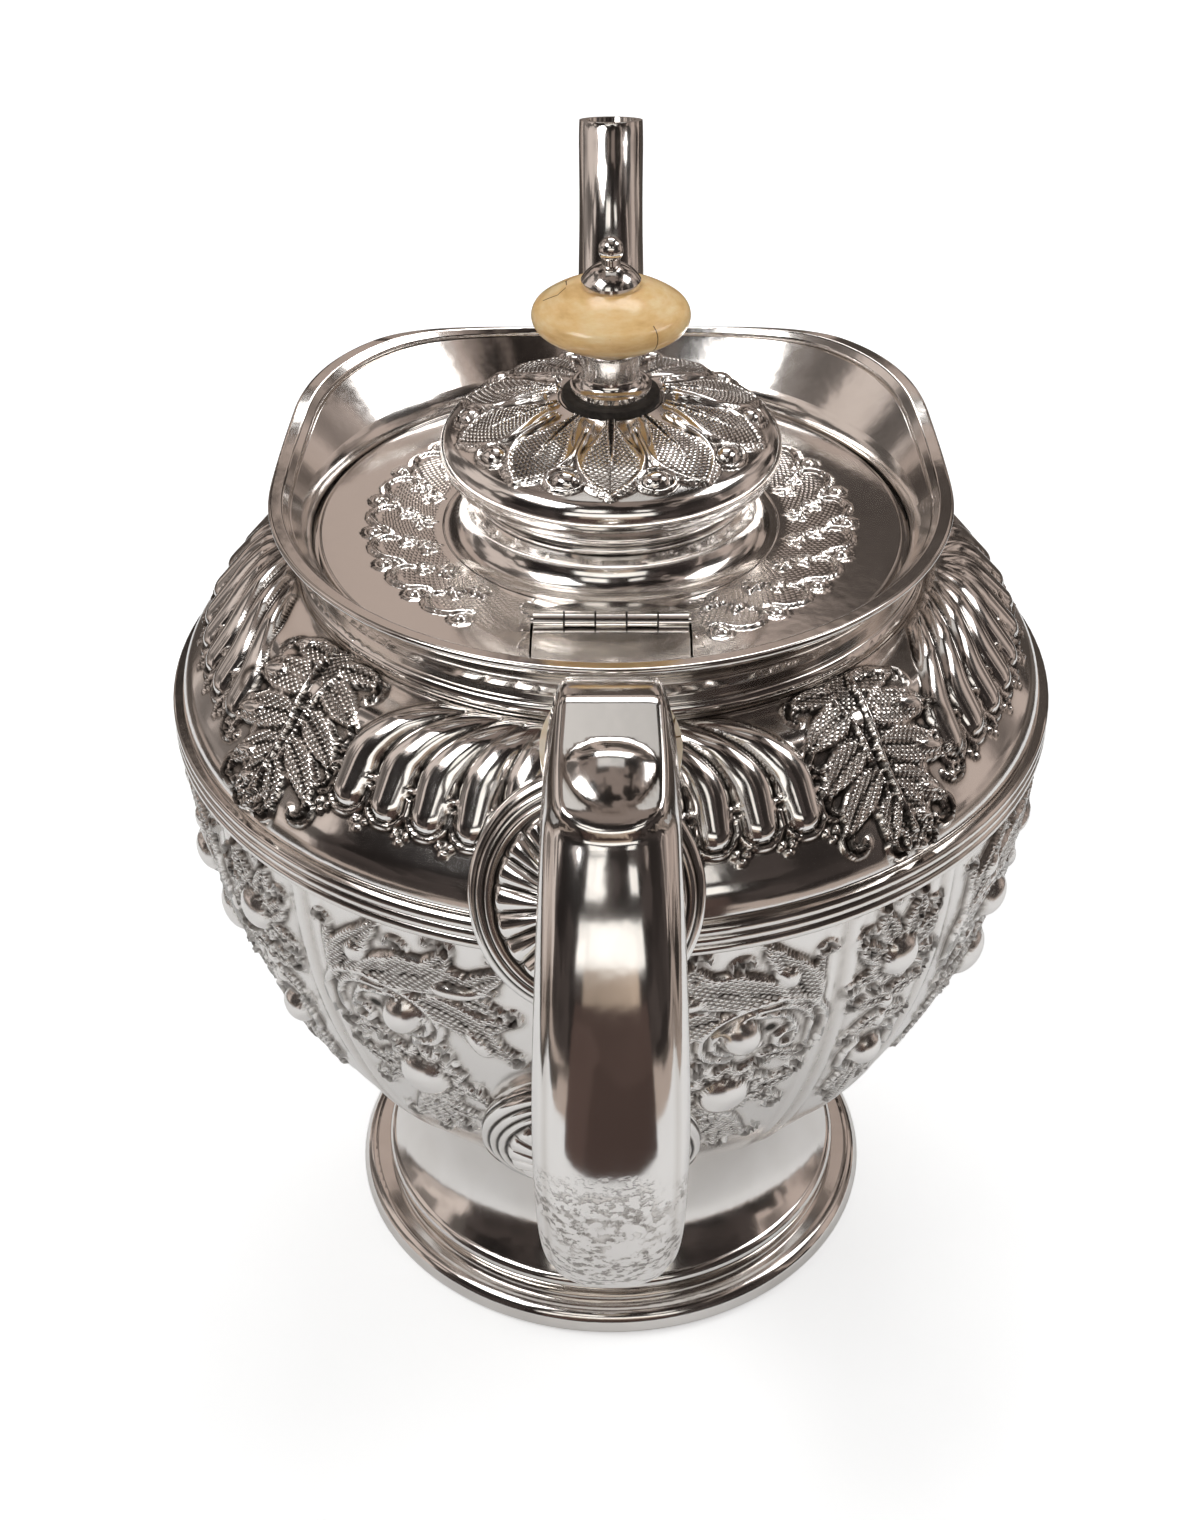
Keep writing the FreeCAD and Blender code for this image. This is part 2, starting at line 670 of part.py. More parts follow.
def make_bowl():
    """The raised bowl, closed below, with strainer holes through its wall at the spout."""
    bend = bowl_corner("side_centre_out", "belt_height", "side_curve", "side_sweep")
    neck = bowl_corner("lower_centre_out", "lower_centre_up", "lower_curve", "lower_sweep")
    steps = bowl_outline() + [
        (("bowl_radius - wall", "belt_height"),),
        (bend, ("side_centre_out", "belt_height"), "side_curve - wall"),
        (neck, ("lower_centre_out", "lower_centre_up"), "lower_curve - wall"),
        (("0", "base_centre_up - base_curve + wall"), ("0", "base_centre_up"), "base_curve - wall"),
    ]
    body = revolve("bowl_blank", ("0", "base_centre_up - base_curve"), steps)
    sketch = new_sketch(body, "strainer_outline", "XZ_Plane")
    spots = [("0", "0")]
    for ring in (1, 2):
        for number in range(6 * ring):
            turn = f"{60 / ring * number}"
            spots.append((f"strainer_pitch * {ring} * cos({turn})", f"strainer_pitch * {ring} * sin({turn})"))
    for number, (across, up) in enumerate(spots):
        height = f"strainer_up + {up}"
        centre = FreeCAD.Vector(value(across), value(height), 0)
        sketch.addGeometry(Part.Circle(centre, FreeCAD.Vector(0, 0, 1), value("strainer_hole")), False)
        if abs(value(across)) < 1e-6:
            sketch.addConstraint(Sketcher.Constraint("PointOnObject", number, 3, -2))
        else:
            across_rule = Sketcher.Constraint("DistanceX", -1, 1, number, 3, centre.x)
            bind_constraint(sketch, across_rule, f"hole{number}_across", across)
        up_rule = Sketcher.Constraint("DistanceY", -1, 1, number, 3, centre.y)
        bind_constraint(sketch, up_rule, f"hole{number}_up", height)
        radius_rule = Sketcher.Constraint("Radius", number, value("strainer_hole"))
        bind_constraint(sketch, radius_rule, f"hole{number}_radius", "strainer_hole")
    pocket = body.newObject("PartDesign::Pocket", "strainer")
    pocket.Profile = sketch
    pocket.Type = "ThroughAll"
    body.Tip = pocket
    return fuse("bowl", [body] + make_bowl_relief())


def shoulder_outline():
    """The shoulder's outside from the belt up to the mouth, as steps."""
    return [
        (("bowl_radius", "turn_up"),),
        (("slope_out", "slope_up"), ("turn_centre_out", "turn_up"), "shoulder_turn"),
        (("crown_out", "crown_up"),),
        (("waist_radius", "mouth_up"), ("crown_centre_out", "crown_centre_up"), "shoulder_crown"),
    ]


def make_shoulder():
    """The domed and lobed shoulder, from the belt to the mouth that holds the gallery."""
    across, rise = "wall * cos(shoulder_slope)", "wall * sin(shoulder_slope)"
    turn_centre, crown_centre = ("turn_centre_out", "turn_up"), ("crown_centre_out", "crown_centre_up")
    middle_low, middle_top = ("0", "belt_height"), ("0", "mouth_up")
    steps = [(("bowl_radius", "belt_height"),)] + shoulder_outline() + [(middle_top,)]
    outside = revolve("shoulder_outside", middle_low, steps)
    steps = [
        (("bowl_radius - wall", "belt_height"),),
        (("bowl_radius - wall", "turn_up"),),
        ((f"slope_out - {across}", f"slope_up - {rise}"), turn_centre, "shoulder_turn - wall"),
        ((f"crown_out - {across}", f"crown_up - {rise}"),),
        (("waist_radius", "mouth_under"), crown_centre, "shoulder_crown - wall"),
        (("waist_radius", "mouth_up"),),
        (middle_top,),
    ]
    inside = revolve("shoulder_inside", middle_low, steps)
    return cut("shoulder", fuse("shoulder_lobed", [outside] + make_shoulder_relief()), inside)


def make_envelope():
    """The body's outside as one full solid, a tool that shapes what is soldered to it."""
    steps = bowl_outline() + shoulder_outline() + [(("0", "mouth_up"),)]
    return revolve("envelope", ("0", "base_centre_up - base_curve"), steps)


def make_belt():
    """Three reeds on a band round the seam of bowl and shoulder."""
    face = "bowl_radius + belt_band"
    low = "belt_height - 3 * reed_half"
    centre_out = f"{face} - sqrt(reed_curve^2 - reed_half^2)"
    steps = [((face, low),)]
    for reed in range(3):
        middle = f"{low} + {2 * reed + 1} * reed_half"
        top = f"{low} + {2 * reed + 2} * reed_half"
        steps.append(((face, top), (centre_out, middle), "reed_curve"))
    steps.append((("bowl_radius", "belt_height + 3 * reed_half"),))
    return revolve("belt_wire", ("bowl_radius", low), steps)


def make_foot_shell():
    """The collet foot: a cavetto that spreads to a ridge."""
    cavetto = ("foot_centre_out", "foot_waist_height")
    steps = [
        (("foot_waist - wall", "foot_top_inner"),),
        (("foot_waist", "foot_top"), ("0", "base_centre_up"), "base_curve"),
        (("foot_waist", "foot_waist_height"),),
        (("ridge_out", "ridge_top"), cavetto, "foot_curve"),
        (("ridge_out", "wire_height"), ("ridge_centre_out", "ridge_mid"), "ridge_curve"),
        (("ridge_inner", "wire_height"),),
        (("ridge_inner", "ridge_top"),),
        (("foot_waist - wall", "foot_waist_height"), cavetto, "foot_curve + wall"),
    ]
    return revolve("foot_shell", ("foot_waist - wall", "foot_waist_height"), steps)


def make_foot_wire():
    """The half-round wire that the pot stands on."""
    half = "wire_height / 2"
    middle = (f"foot_radius - {half}", half)
    steps = [
        ((middle[0], "0"),),
        (("foot_radius", half), middle, half),
        ((middle[0], "wire_height"), middle, half),
        (("ridge_inner", "wire_height"),),
    ]
    return revolve("foot_wire", ("ridge_inner", "0"), steps)


def rim_curve(level):
    """The shaped rim seen from the side, from the handle's side to the spout's, as steps."""
    peak = f"{level} + corner_rise"
    half_way = ("corner_reach / 2", f"{level} + corner_rise / 2")
    dip_out = "corner_reach + dip_curve * sin(dip_sweep)"
    dip_up = f"{peak} - dip_curve * (1 - cos(dip_sweep))"
    return [
        (("0", level),),
        (half_way, ("0", f"{level} + corner_curve"), "corner_curve"),
        (("corner_reach", peak), ("corner_reach", f"{peak} - corner_curve"), "corner_curve"),
        ((dip_out, dip_up), ("corner_reach", f"{peak} - dip_curve"), "dip_curve"),
        (("far_out", dip_up),),
    ]


def make_gallery():
    """The flared gallery, cut to the shaped rim."""
    centre = ("flare_centre_out", "flare_base")
    steps = [
        (("waist_radius", "gallery_bottom"),),
        (("waist_radius", "flare_base"),),
        (("flare_out", "flare_up"), centre, "flare_curve"),
        (("blank_out", "blank_top"),),
        (("blank_out - wall_across", "blank_top"),),
        (("flare_inner_out", "flare_inner_up"),),
        (("gallery_inner", "flare_base"), centre, "flare_curve + wall"),
    ]
    body = revolve("gallery", ("gallery_inner", "gallery_bottom"), steps)
    level = "rim_height - rim_bead"
    above = rim_curve(level) + [(("far_out", "blank_top + wall"),), (("-far_out", "blank_top + wall"),)]
    cut_through(body, "gallery_rim", "YZ_Plane", ("-far_out", level), above)
    return body


def make_rim_wire():
    """The heavy moulded rim along the gallery's shaped edge."""
    low = "flare_up"
    low_outer, low_inner = "flare_out + bead_spare", "flare_out - wall_across - bead_spare"
    steps = [
        (("blank_out + bead_spare", "blank_top"),),
        (("blank_out - wall_across - bead_spare", "blank_top"),),
        ((low_inner, low),),
    ]
    body = revolve("rim_wire", (low_outer, low), steps)
    top = "rim_height"
    above = rim_curve(top) + [(("far_out", "blank_top + wall"),), (("-far_out", "blank_top + wall"),)]
    cut_through(body, "rim_top", "YZ_Plane", ("-far_out", top), above)
    bottom = "rim_height - rim_bead"
    below = rim_curve(bottom) + [(("far_out", "flare_up - wall"),), (("-far_out", "flare_up - wall"),)]
    pocket = cut_through(body, "rim_bottom", "YZ_Plane", ("-far_out", bottom), below)
    doc.recompute()
    edges = [f"Edge{number}" for number in range(1, len(pocket.Shape.Edges) + 1)]
    rim = body.newObject("PartDesign::Fillet", "rim_rounding")
    rim.Base = (pocket, edges)
    bind(rim, Radius="rim_round")
    body.Tip = rim
    return body


def make_collar_wire():
    """The round wire at the root of the gallery."""
    middle = ("waist_radius + collar_wire / 2", "mouth_up + collar_wire")
    steps = [
        ((middle[0], "mouth_up"),),
        ((f"{middle[0]} + collar_wire", middle[1]), middle, "collar_wire"),
        ((middle[0], "mouth_up + 2 * collar_wire"), middle, "collar_wire"),
        (("waist_radius", "mouth_up + 2 * collar_wire"),),
    ]
    return revolve("collar_wire", ("waist_radius", "mouth_up"), steps)


def ring(label, inner, outer, low, top):
    """A plain ring of square section."""
    steps = [((outer, low),), ((outer, top),), ((inner, top),)]
    return revolve(label, (inner, low), steps)


def open_towards_handle(body, name, edge):
    """Leave out the part of a ring that lies beyond an edge on the handle's side."""
    steps = [(("far_out", "-far_out"),), (("far_out", edge),), (("-far_out", edge),)]
    cut_through(body, name, "XY_Plane", ("-far_out", "-far_out"), steps)
    return body


def make_lid_seat():
    """The ledge that carries the lid, left open at the hinge."""
    body = ring("lid_seat", "seat_inner", "gallery_inner", "seat_top - seat_thick", "seat_top")
    return open_towards_handle(body, "seat_opening_cut", "-seat_opening")


def make_lid_bezel():
    """The guide ring under the lid, left open at the hinge."""
    inner, low = "bezel_radius - bezel_thick", "lid_under - bezel_depth"
    body = ring("lid_bezel", inner, "bezel_radius", low, "lid_under")
    return open_towards_handle(body, "bezel_opening_cut", "-seat_opening")


def make_lid_cover():
    """The lid's flange and cove up to its neck, notched for the hinge."""
    centre = ("cove_out", "cove_up")
    steps = [
        (("lid_neck", "neck_top"),),
        (("lid_neck", "cove_up"),),
        (("cove_out", "lid_height"), centre, "cove_curve"),
        (("lid_radius", "lid_height"),),
        (("lid_radius", "lid_under"),),
        (("cove_out", "lid_under"),),
        (("lid_bore", "cove_up"), centre, "cove_curve + lid_thick"),
    ]
    body = revolve("lid_cover", ("lid_bore", "neck_top"), steps)
    edge = "knuckle_clear - hinge_out"
    notch = [(("notch_half", "-far_out"),), (("notch_half", edge),), (("-notch_half", edge),)]
    cut_through(body, "hinge_notch", "XY_Plane", ("-notch_half", "-far_out"), notch)
    return body


def crown_turn(curve):
    """Where the dome's crown turns over into its rounded side."""
    return f"edge_out * {curve} / cap_reach", f"cap_centre_up + cap_depth * {curve} / cap_reach"


def make_lid_dome():
    """The cushion dome on the lid's neck, with a flat seat for the finial."""
    roll = ("edge_out", "edge_up")
    crown = ("0", "cap_centre_up")
    steps = [
        (("lid_neck", "neck_top"),),
        (("lid_neck", "dome_up"),),
        (("edge_out", "dome_up"),),
        (("dome_radius", "edge_up"), roll, "dome_edge"),
        (crown_turn("dome_curve"), roll, "dome_edge"),
        (("finial_seat", "seat_up"), crown, "dome_curve"),
        (("stud_hole", "seat_up"),),
        (("stud_hole", "nut_up"),),
        (("nut_seat", "nut_up"),),
        (crown_turn("dome_inner"), crown, "dome_inner"),
        (("edge_out + edge_inner", "edge_up"), roll, "edge_inner"),
        (("edge_out", "dome_up + lid_thick"), roll, "edge_inner"),
        (("lid_bore", "dome_up + lid_thick"),),
    ]
    return revolve("lid_dome", ("lid_bore", "neck_top"), steps)


def make_finial_base():
    """The turned silver base under the knob."""
    low, top = "base_low", "knob_low"
    shelf = f"{low} + base_foot"
    steps = [
        (("base_radius", low),),
        (("base_radius", shelf),),
        (("base_neck", f"{shelf} + base_scotia"), ("base_radius", f"{shelf} + base_scotia"), "base_scotia"),
        (("base_neck", f"{top} - base_flare"),),
        (("base_cup", top), ("base_cup", f"{top} - base_flare"), "base_flare"),
        (("stud_hole", top),),
    ]
    return revolve("finial_base", ("stud_hole", low), steps)


def make_finial_knob():
    """The lens-shaped knob with a rounded rim."""
    rim = ("knob_round_out", "knob_rim_low + knob_edge / 2")
    steps = [
        (("knob_seat", "knob_low"),),
        (("knob_radius", "knob_rim_low"), ("0", "knob_sphere_low"), "knob_curve"),
        (("knob_radius", "knob_rim_top"), rim, "knob_round"),
        (("knob_seat", "knob_top"), ("0", "knob_sphere_top"), "knob_curve"),
        (("stud_hole", "knob_top"),),
    ]
    return revolve("finial_knob", ("stud_hole", "knob_low"), steps)


def make_finial_cap():
    """The domed cap with its ball, bored for the stud."""
    low = "knob_top"
    steps = [
        (("stud_hole", f"{low} + cap_bore"),),
        (("stud_hole", low),),
        (("cap_radius", low),),
        (("cap_radius", f"{low} + cap_lip"),),
        (("cap_neck", f"{low} + cap_height"), ("0", f"{low} + cap_crown"), "cap_curve"),
        (("cap_neck", "ball_low"),),
        (("0", "ball_mid + ball_radius"), ("0", "ball_mid"), "ball_radius"),
    ]
    return revolve("finial_cap", ("0", f"{low} + cap_bore"), steps)


def make_finial_fixing():
    """The stud through the finial and the nut under the dome."""
    length = "knob_top + cap_bore - nut_up + nut_thick"
    stud = cylinder("finial_stud", "stud_radius", length, ("0", "0", "nut_up - nut_thick"))
    stud.Label = "finial_stud"
    blank = bind(doc.addObject("Part::Prism", "nut_blank"), Circumradius="nut_radius", Height="nut_thick")
    place(blank, "0", "0", "nut_up - nut_thick")
    hole = cylinder("nut_hole", "stud_hole", "nut_thick", ("0", "0", "nut_up - nut_thick"))
    return stud, cut("finial_nut", blank, hole)


def knuckles(owner, numbers, tab_start, tab_length, tab_up):
    """Knuckles of one hinge leaf with the tabs that join them to it."""
    pieces = []
    for number in numbers:
        left = f"{number} * knuckle_pitch - hinge_width / 2 + knuckle_gap / 2"
        barrel_base = (left, "-hinge_out", "hinge_up")
        name = f"{owner}_knuckle{number}"
        pieces.append(cylinder(name, "knuckle_radius", "knuckle_length", barrel_base, (0, 1, 0), "90"))
        tab_corner = (left, tab_start, tab_up)
        pieces.append(box(f"{owner}_tab{number}", "knuckle_length", tab_length, "leaf_thick", tab_corner))
    return pieces


def hinge_bore(owner):
    """The hole for the pin through all knuckles of one leaf."""
    base = ("-hinge_width / 2 - pin_overhang", "-hinge_out", "hinge_up")
    return cylinder(f"{owner}_bore", "pin_bore", "hinge_width + 2 * pin_overhang", base, (0, 1, 0), "90")


def make_body_leaf():
    """The fixed hinge leaf, bracketed to the inside of the gallery, with knuckles 1, 3 and 5."""
    left = "-hinge_width / 2"
    plate_up = "hinge_up - leaf_thick"
    plate_length = "gallery_inner - hinge_out - knuckle_clear"
    plate = box("body_plate", "hinge_width", plate_length, "leaf_thick", (left, "-gallery_inner", plate_up))
    drop_corner = (left, "-gallery_inner", "hinge_up - leaf_thick - bracket_depth")
    drop_length = "gallery_inner - sqrt(gallery_inner^2 - hinge_width^2 / 4) + bracket_thick"
    bracket = box("body_bracket", "hinge_width", drop_length, "bracket_depth + leaf_thick", drop_corner)
    tabs = knuckles("body", (0, 2, 4), "-hinge_out - knuckle_clear", "knuckle_clear", plate_up)
    whole = fuse("body_leaf_blank", [plate, bracket] + tabs)
    limit_base = ("0", "0", "gallery_bottom")
    limit = cylinder("gallery_space", "gallery_inner", "rim_height - gallery_bottom", limit_base)
    return cut("hinge_body_leaf", common("body_leaf_fitted", whole, limit), hinge_bore("body"))


def make_lid_leaf():
    """The moving hinge leaf on the lid's flange, with knuckles 2 and 4."""
    near, tail = "knuckle_clear - hinge_out", "leaf_tail"
    plate = box("lid_plate", "hinge_width", tail, "leaf_thick", ("-hinge_width / 2", near, "lid_height"))
    end = f"{near} + {tail} - leaf_curve"
    shape = cylinder("lid_plate_end", "leaf_curve", "leaf_thick", ("0", end, "lid_height"))
    tabs = knuckles("lid", (1, 3), "-hinge_out", "knuckle_clear", "lid_height")
    whole = fuse("lid_leaf_blank", [common("lid_plate_round", plate, shape)] + tabs)
    return cut("hinge_lid_leaf", whole, hinge_bore("lid"))


def make_hinge_pin():
    base = ("-hinge_width / 2 - pin_overhang", "-hinge_out", "hinge_up")
    pin = cylinder("hinge_pin", "pin_radius", "hinge_width + 2 * pin_overhang", base, (0, 1, 0), "90")
    pin.Label = "hinge_pin"
    return pin


def handle_stations():
    """Sections of the handle from the upper insulator round to the lower one."""
    ferrule, grip = ("ferrule_width", "ferrule_thick"), ("grip_width", "grip_thick")

    def size(share):
        return blend(ferrule[0], grip[0], share), blend(ferrule[1], grip[1], share)

    def on_top(share, heading, bump="0"):
        width, depth = size(share)
        middle = on_arc("top_out", "top_up", f"top_curve + {bump} / 2", heading)
        return (*middle, heading, width, f"{depth} + {bump}")

    def on_shaft(share, heading):
        return (*on_arc("shaft_out", "shaft_up", "shaft_curve", heading), heading, *size(share))

    def on_heel(share, heading):
        return (*on_arc("heel_out", "heel_up", "heel_curve", heading), heading, *size(share))

    stations = [("start_out", "start_up", "handle_rise", *size(0))]
    stations.append(on_top(0.1, "handle_rise * 2 / 3"))
    stations.append(on_top(0.2, "handle_rise / 3"))
    stations.append(on_top(0.3, "0", "thumb_bump / 2"))
    stations.append(on_top(0.4, "-handle_fall / 2", "thumb_bump"))
    for step in range(7):
        share = min(1.0, 0.6 + 0.2 * step)
        stations.append(on_shaft(share, f"-handle_fall - (shaft_end - handle_fall) * {step} / 6"))
    stations.append(on_heel(0.85, "-(shaft_end + heel_end) / 2"))
    stations.append(on_heel(0.6, "-heel_end"))
    stations.append(("end_out", "end_up", "-heel_end", *size(0)))
    return stations


def across_pins(label, out, up, heading):
    """Two rivets across an insulator's spigots, one in the socket and one in the handle."""
    pieces = []
    for end, sign in (("socket", "-"), ("handle", "+")):
        reach = "(half_disc + spigot_length / 2)"
        along = f"-(({out}) {sign} {reach} * cos({heading}))"
        height = f"({up}) {sign} {reach} * sin({heading})"
        base = ("-ferrule_width / 2", along, height)
        pieces.append(cylinder(f"{label}_{end}", "rivet_radius", "ferrule_width", base, (0, 1, 0), "90"))
    return group(label, pieces)


def make_insulator(label, out, up, heading, pins):
    """An insulating disc with a spigot each side."""
    turn = f"90 - ({heading})"

    def start(back):
        return "0", f"-(({out}) - ({back}) * cos({heading}))", f"({up}) - ({back}) * sin({heading})"

    disc = cylinder(f"{label}_disc", "insulator_radius", "insulator_thick", start("half_disc"), turn=turn)
    length = "insulator_thick + 2 * spigot_length"
    spigot_start = start("half_disc + spigot_length")
    spigot = cylinder(f"{label}_spigot", "spigot_radius", length, spigot_start, turn=turn)
    return cut(label, fuse(f"{label}_blank", [disc, spigot]), pins), spigot


def make_handle(spigots, pins):
    """The hollow loop, bored at its two ends for the insulators' spigots."""
    body = new_body("handle_blank")
    stations = handle_stations()
    loft(body, "Additive", "handle_outside", -1, stations)
    loft(body, "Subtractive", "handle_inside", -1, stations[1:-1], "handle_wall")
    bored = cut("handle_bored", body, fuse("handle_spigots", spigots))
    return cut("handle", bored, fuse("handle_pins", pins))


def boss(name, out, up, tilt, width, length, proud):
    """An oval boss on the body, its short axis along the body's surface normal, left of the handle."""
    item = doc.addObject("Part::Ellipsoid", f"{name}_middle")
    bind(item, Radius1=proud, Radius2=f"{width} / 2", Radius3=f"{length} / 2")
    place(item, "0", f"-({out})", up, turn=f"90 - ({tilt})")
    return turned(item, name, "-boss_turn")


def make_socket(label, stations, oval, spigot, pins, envelope, belt):
    """A socket: an arm on an oval boss, fitted to the body and bored for the insulator."""
    body = new_body(f"{label}_arm")
    loft(body, "Additive", f"{label}_arm_loft", -1, stations)
    whole = fuse(f"{label}_blank", [body, oval])
    fitted = cut(f"{label}_fitted", whole, envelope)
    clear = cut(f"{label}_clear", fitted, belt)
    bored = cut(f"{label}_bored", clear, spigot)
    return cut(label, bored, pins)


def upper_stations():
    arc = ("arm_centre_out", "arm_centre_up", "arm_curve")
    middle = "(90 + handle_rise) / 2"
    return [
        ("arm_out", "arm_centre_up - arm_root_drop", "90", "ferrule_width", "arm_root_thick"),
        ("arm_out", "arm_centre_up", "90", "ferrule_width", "ferrule_thick"),
        (*on_arc(*arc, middle), middle, "ferrule_width", "ferrule_thick"),
        ("arm_end_out", "arm_end_up", "handle_rise", "ferrule_width", "ferrule_thick"),
    ]


def lower_stations():
    return [
        ("stem_end_out", "stem_end_up", "-heel_end", "ferrule_width", "ferrule_thick"),
        ("stem_root_out", "stem_root_up", "-heel_end", "ferrule_width", "ferrule_thick"),
    ]


def spout_stations():
    """Sections of the spout from inside the bowl to its mouth."""
    def size(share):
        width = blend("spout_tip_width", "spout_root_width", share)
        return width, blend("spout_tip_depth", "spout_root_depth", share)

    middle = "(spout_start + spout_climb) / 2"
    middle_out = f"bend_centre_out + spout_bend * sin({middle})"
    middle_up = f"bend_centre_up - spout_bend * cos({middle})"
    turn = ("turn_spout_out", "turn_spout_up", "spout_turn")
    half_turn = "(spout_climb + spout_tip) / 2"
    mouth_depth = "spout_tip_depth / cos(spout_mouth)"
    return [
        ("spout_root_out", "spout_root_up", "spout_start", *size(1)),
        ("lead_out", "lead_up", "spout_start", *size(0.75)),
        (middle_out, middle_up, middle, *size(0.4)),
        ("climb_out", "climb_up", "spout_climb", *size(0.15)),
        ("reach_out", "reach_up", "spout_climb", *size(0.02)),
        (*on_arc(*turn, half_turn), half_turn, *size(0)),
        ("tip_out", "tip_up", "spout_tip", *size(0)),
        ("mouth_out", "mouth_lip_up", "spout_tip + spout_mouth", "spout_tip_width", mouth_depth),
    ]


def make_spout(envelope):
    """The hollow swan neck, fitted to the outside of the bowl."""
    body = new_body("spout_blank")
    stations = spout_stations()
    loft(body, "Additive", "spout_outside", 1, stations)
    loft(body, "Subtractive", "spout_bore", 1, stations, "spout_wall")
    return cut("spout", body, envelope)


envelope = make_envelope()
belt = make_belt()
upper_pins = across_pins("upper_rivets", "upper_out", "upper_up", "handle_rise")
lower_pins = across_pins("lower_rivets", "lower_out", "lower_up", "-heel_end")
upper_insulator, upper_spigot = make_insulator(
    "upper_insulator", "upper_out", "upper_up", "handle_rise", upper_pins)
lower_insulator, lower_spigot = make_insulator(
    "lower_insulator", "lower_out", "lower_up", "-heel_end", lower_pins)
upper_boss = boss("upper_boss", "bowl_radius - upper_boss_sink", "upper_boss_up", "upper_boss_tilt",
                  "upper_boss_width", "upper_boss_length", "upper_boss_proud")
lower_boss = boss("lower_boss", "lower_boss_out", "lower_boss_up", "lower_boss_tilt",
                  "lower_boss_width", "lower_boss_length", "lower_boss_proud")
stud, nut = make_finial_fixing()

SUB_PARTS = [
    make_bowl(),
    make_shoulder(),
    belt,
    make_foot_shell(),
    make_foot_wire(),
    make_gallery(),
    make_rim_wire(),
    make_collar_wire(),
    make_lid_seat(),
    make_spout(envelope),
    make_socket("upper_socket", upper_stations(), upper_boss, upper_spigot, upper_pins, envelope, belt),
    make_socket("lower_socket", lower_stations(), lower_boss, lower_spigot, lower_pins, envelope, belt),
    upper_insulator,
    lower_insulator,
    upper_pins,
    lower_pins,
    make_handle([upper_spigot, lower_spigot], [upper_pins, lower_pins]),
    make_body_leaf(),
    make_hinge_pin(),
    make_lid_cover(),
    make_lid_dome(),
    make_lid_bezel(),
    make_lid_leaf(),
    ring("finial_washer", "stud_hole", "washer_radius", "seat_up", "seat_up + washer_thick"),
    make_finial_base(),
    make_finial_knob(),
    make_finial_cap(),
    stud,
    nut,
]
doc.recompute()

for item in doc.Objects:
    if "Invalid" in item.State or "Error" in item.State:
        raise RuntimeError(f"{item.Label} did not rebuild: {item.State}")
for part in SUB_PARTS:
    if part.Shape.isNull() or not part.Shape.isValid():
        raise RuntimeError(f"{part.Label} has no valid shape")

os.makedirs("parts", exist_ok=True)
for part in SUB_PARTS:
    part.Shape.exportStep(f"parts/{part.Label}.step")
    print(f"{part.Label}: {len(part.Shape.Solids)} solids, {part.Shape.Volume:.1f} mm3")
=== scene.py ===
"""Looks of the footed silver teapot: chased silver skins, handle, materials, light and camera.

Shapes are worked out in millimetres in the part's own frame: the handle lies along -Y, the spout along +Y.
A turn round the pot is measured in degrees from the handle towards +X; a row is a ring of the surface.
"""

import json
import math

import bpy
import mathutils
import numpy as np
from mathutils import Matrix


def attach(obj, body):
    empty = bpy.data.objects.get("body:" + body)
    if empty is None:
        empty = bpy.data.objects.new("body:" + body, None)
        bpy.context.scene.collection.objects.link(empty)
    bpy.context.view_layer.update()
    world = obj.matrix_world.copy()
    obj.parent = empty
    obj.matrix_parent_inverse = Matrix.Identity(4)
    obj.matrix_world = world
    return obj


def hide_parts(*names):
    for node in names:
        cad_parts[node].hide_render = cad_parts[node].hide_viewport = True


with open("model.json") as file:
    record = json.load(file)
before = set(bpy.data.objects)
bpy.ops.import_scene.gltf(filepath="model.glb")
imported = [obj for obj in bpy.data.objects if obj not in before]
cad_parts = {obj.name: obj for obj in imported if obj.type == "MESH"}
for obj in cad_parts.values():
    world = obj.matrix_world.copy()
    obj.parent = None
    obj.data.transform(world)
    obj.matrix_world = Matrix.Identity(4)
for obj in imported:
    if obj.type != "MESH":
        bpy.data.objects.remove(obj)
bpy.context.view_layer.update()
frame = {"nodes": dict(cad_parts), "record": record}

MM = 0.001
FULL_TURN = 2 * math.pi
DEGREE_REACH = 180 / math.pi   # distance from the axis at which a degree is a millimetre
COARSE = 4                     # fine cells of a skin's outside for each cell of its hidden inside
SKIN_SINK = 0.15               # how far a skin's hidden inside lies in the wall that carries it
SKIN_BASE = 0.08               # least height of a skin over that wall
MARGIN = 0.5                   # how far past its edge a form's cells are looked for
ARC_POINTS, LINE_POINTS = 160, 40

# sizes of the pot that the looks follow: arcs by centre and radius, places by distance out and height
SIDE_ARC = ((-41.4, 99.5), 105)
LOWER_ARC = ((-5.887, 81.09), 65)
BASE_ARC = ((0, 73.05), 55.03)
BOWL_LOW, BASE_END, LOWER_END, BOWL_HIGH = -54.9, -53.8, -27.4, -1.3   # headings where those arcs meet
MID_UP = 71
TURN_ARC = ((55.6, 101.5), 8)
CROWN_ARC = ((42.49, 106.23), 15)
SLOPE = ((61.73, 106.64), (53.98, 115.87))
SHOULDER_LOW, SLOPE_HEADING, SHOULDER_HIGH = 3, 40, 79
LID_UP, LID_EDGE, LID_COVE = 125.7, 41.9, 24
NECK, NECK_LOW = 19.2, 130.8
DOME_UP = 135.08
DOME_ROLL = ((20.9, 138.28), 3.2)
DOME_CROWN = ((0, 91.98), 54)
DOME_END = 82.3
SPOUT_UP, SPOUT_REACH = 57.5, 9.4
HINGE, HINGE_WIDTH, KNUCKLES = (29, 126.45), 21, 5
HINGE_ROOM = (11.6, 22.5)      # half width and distance from the axis of the lid's bare place at the hinge

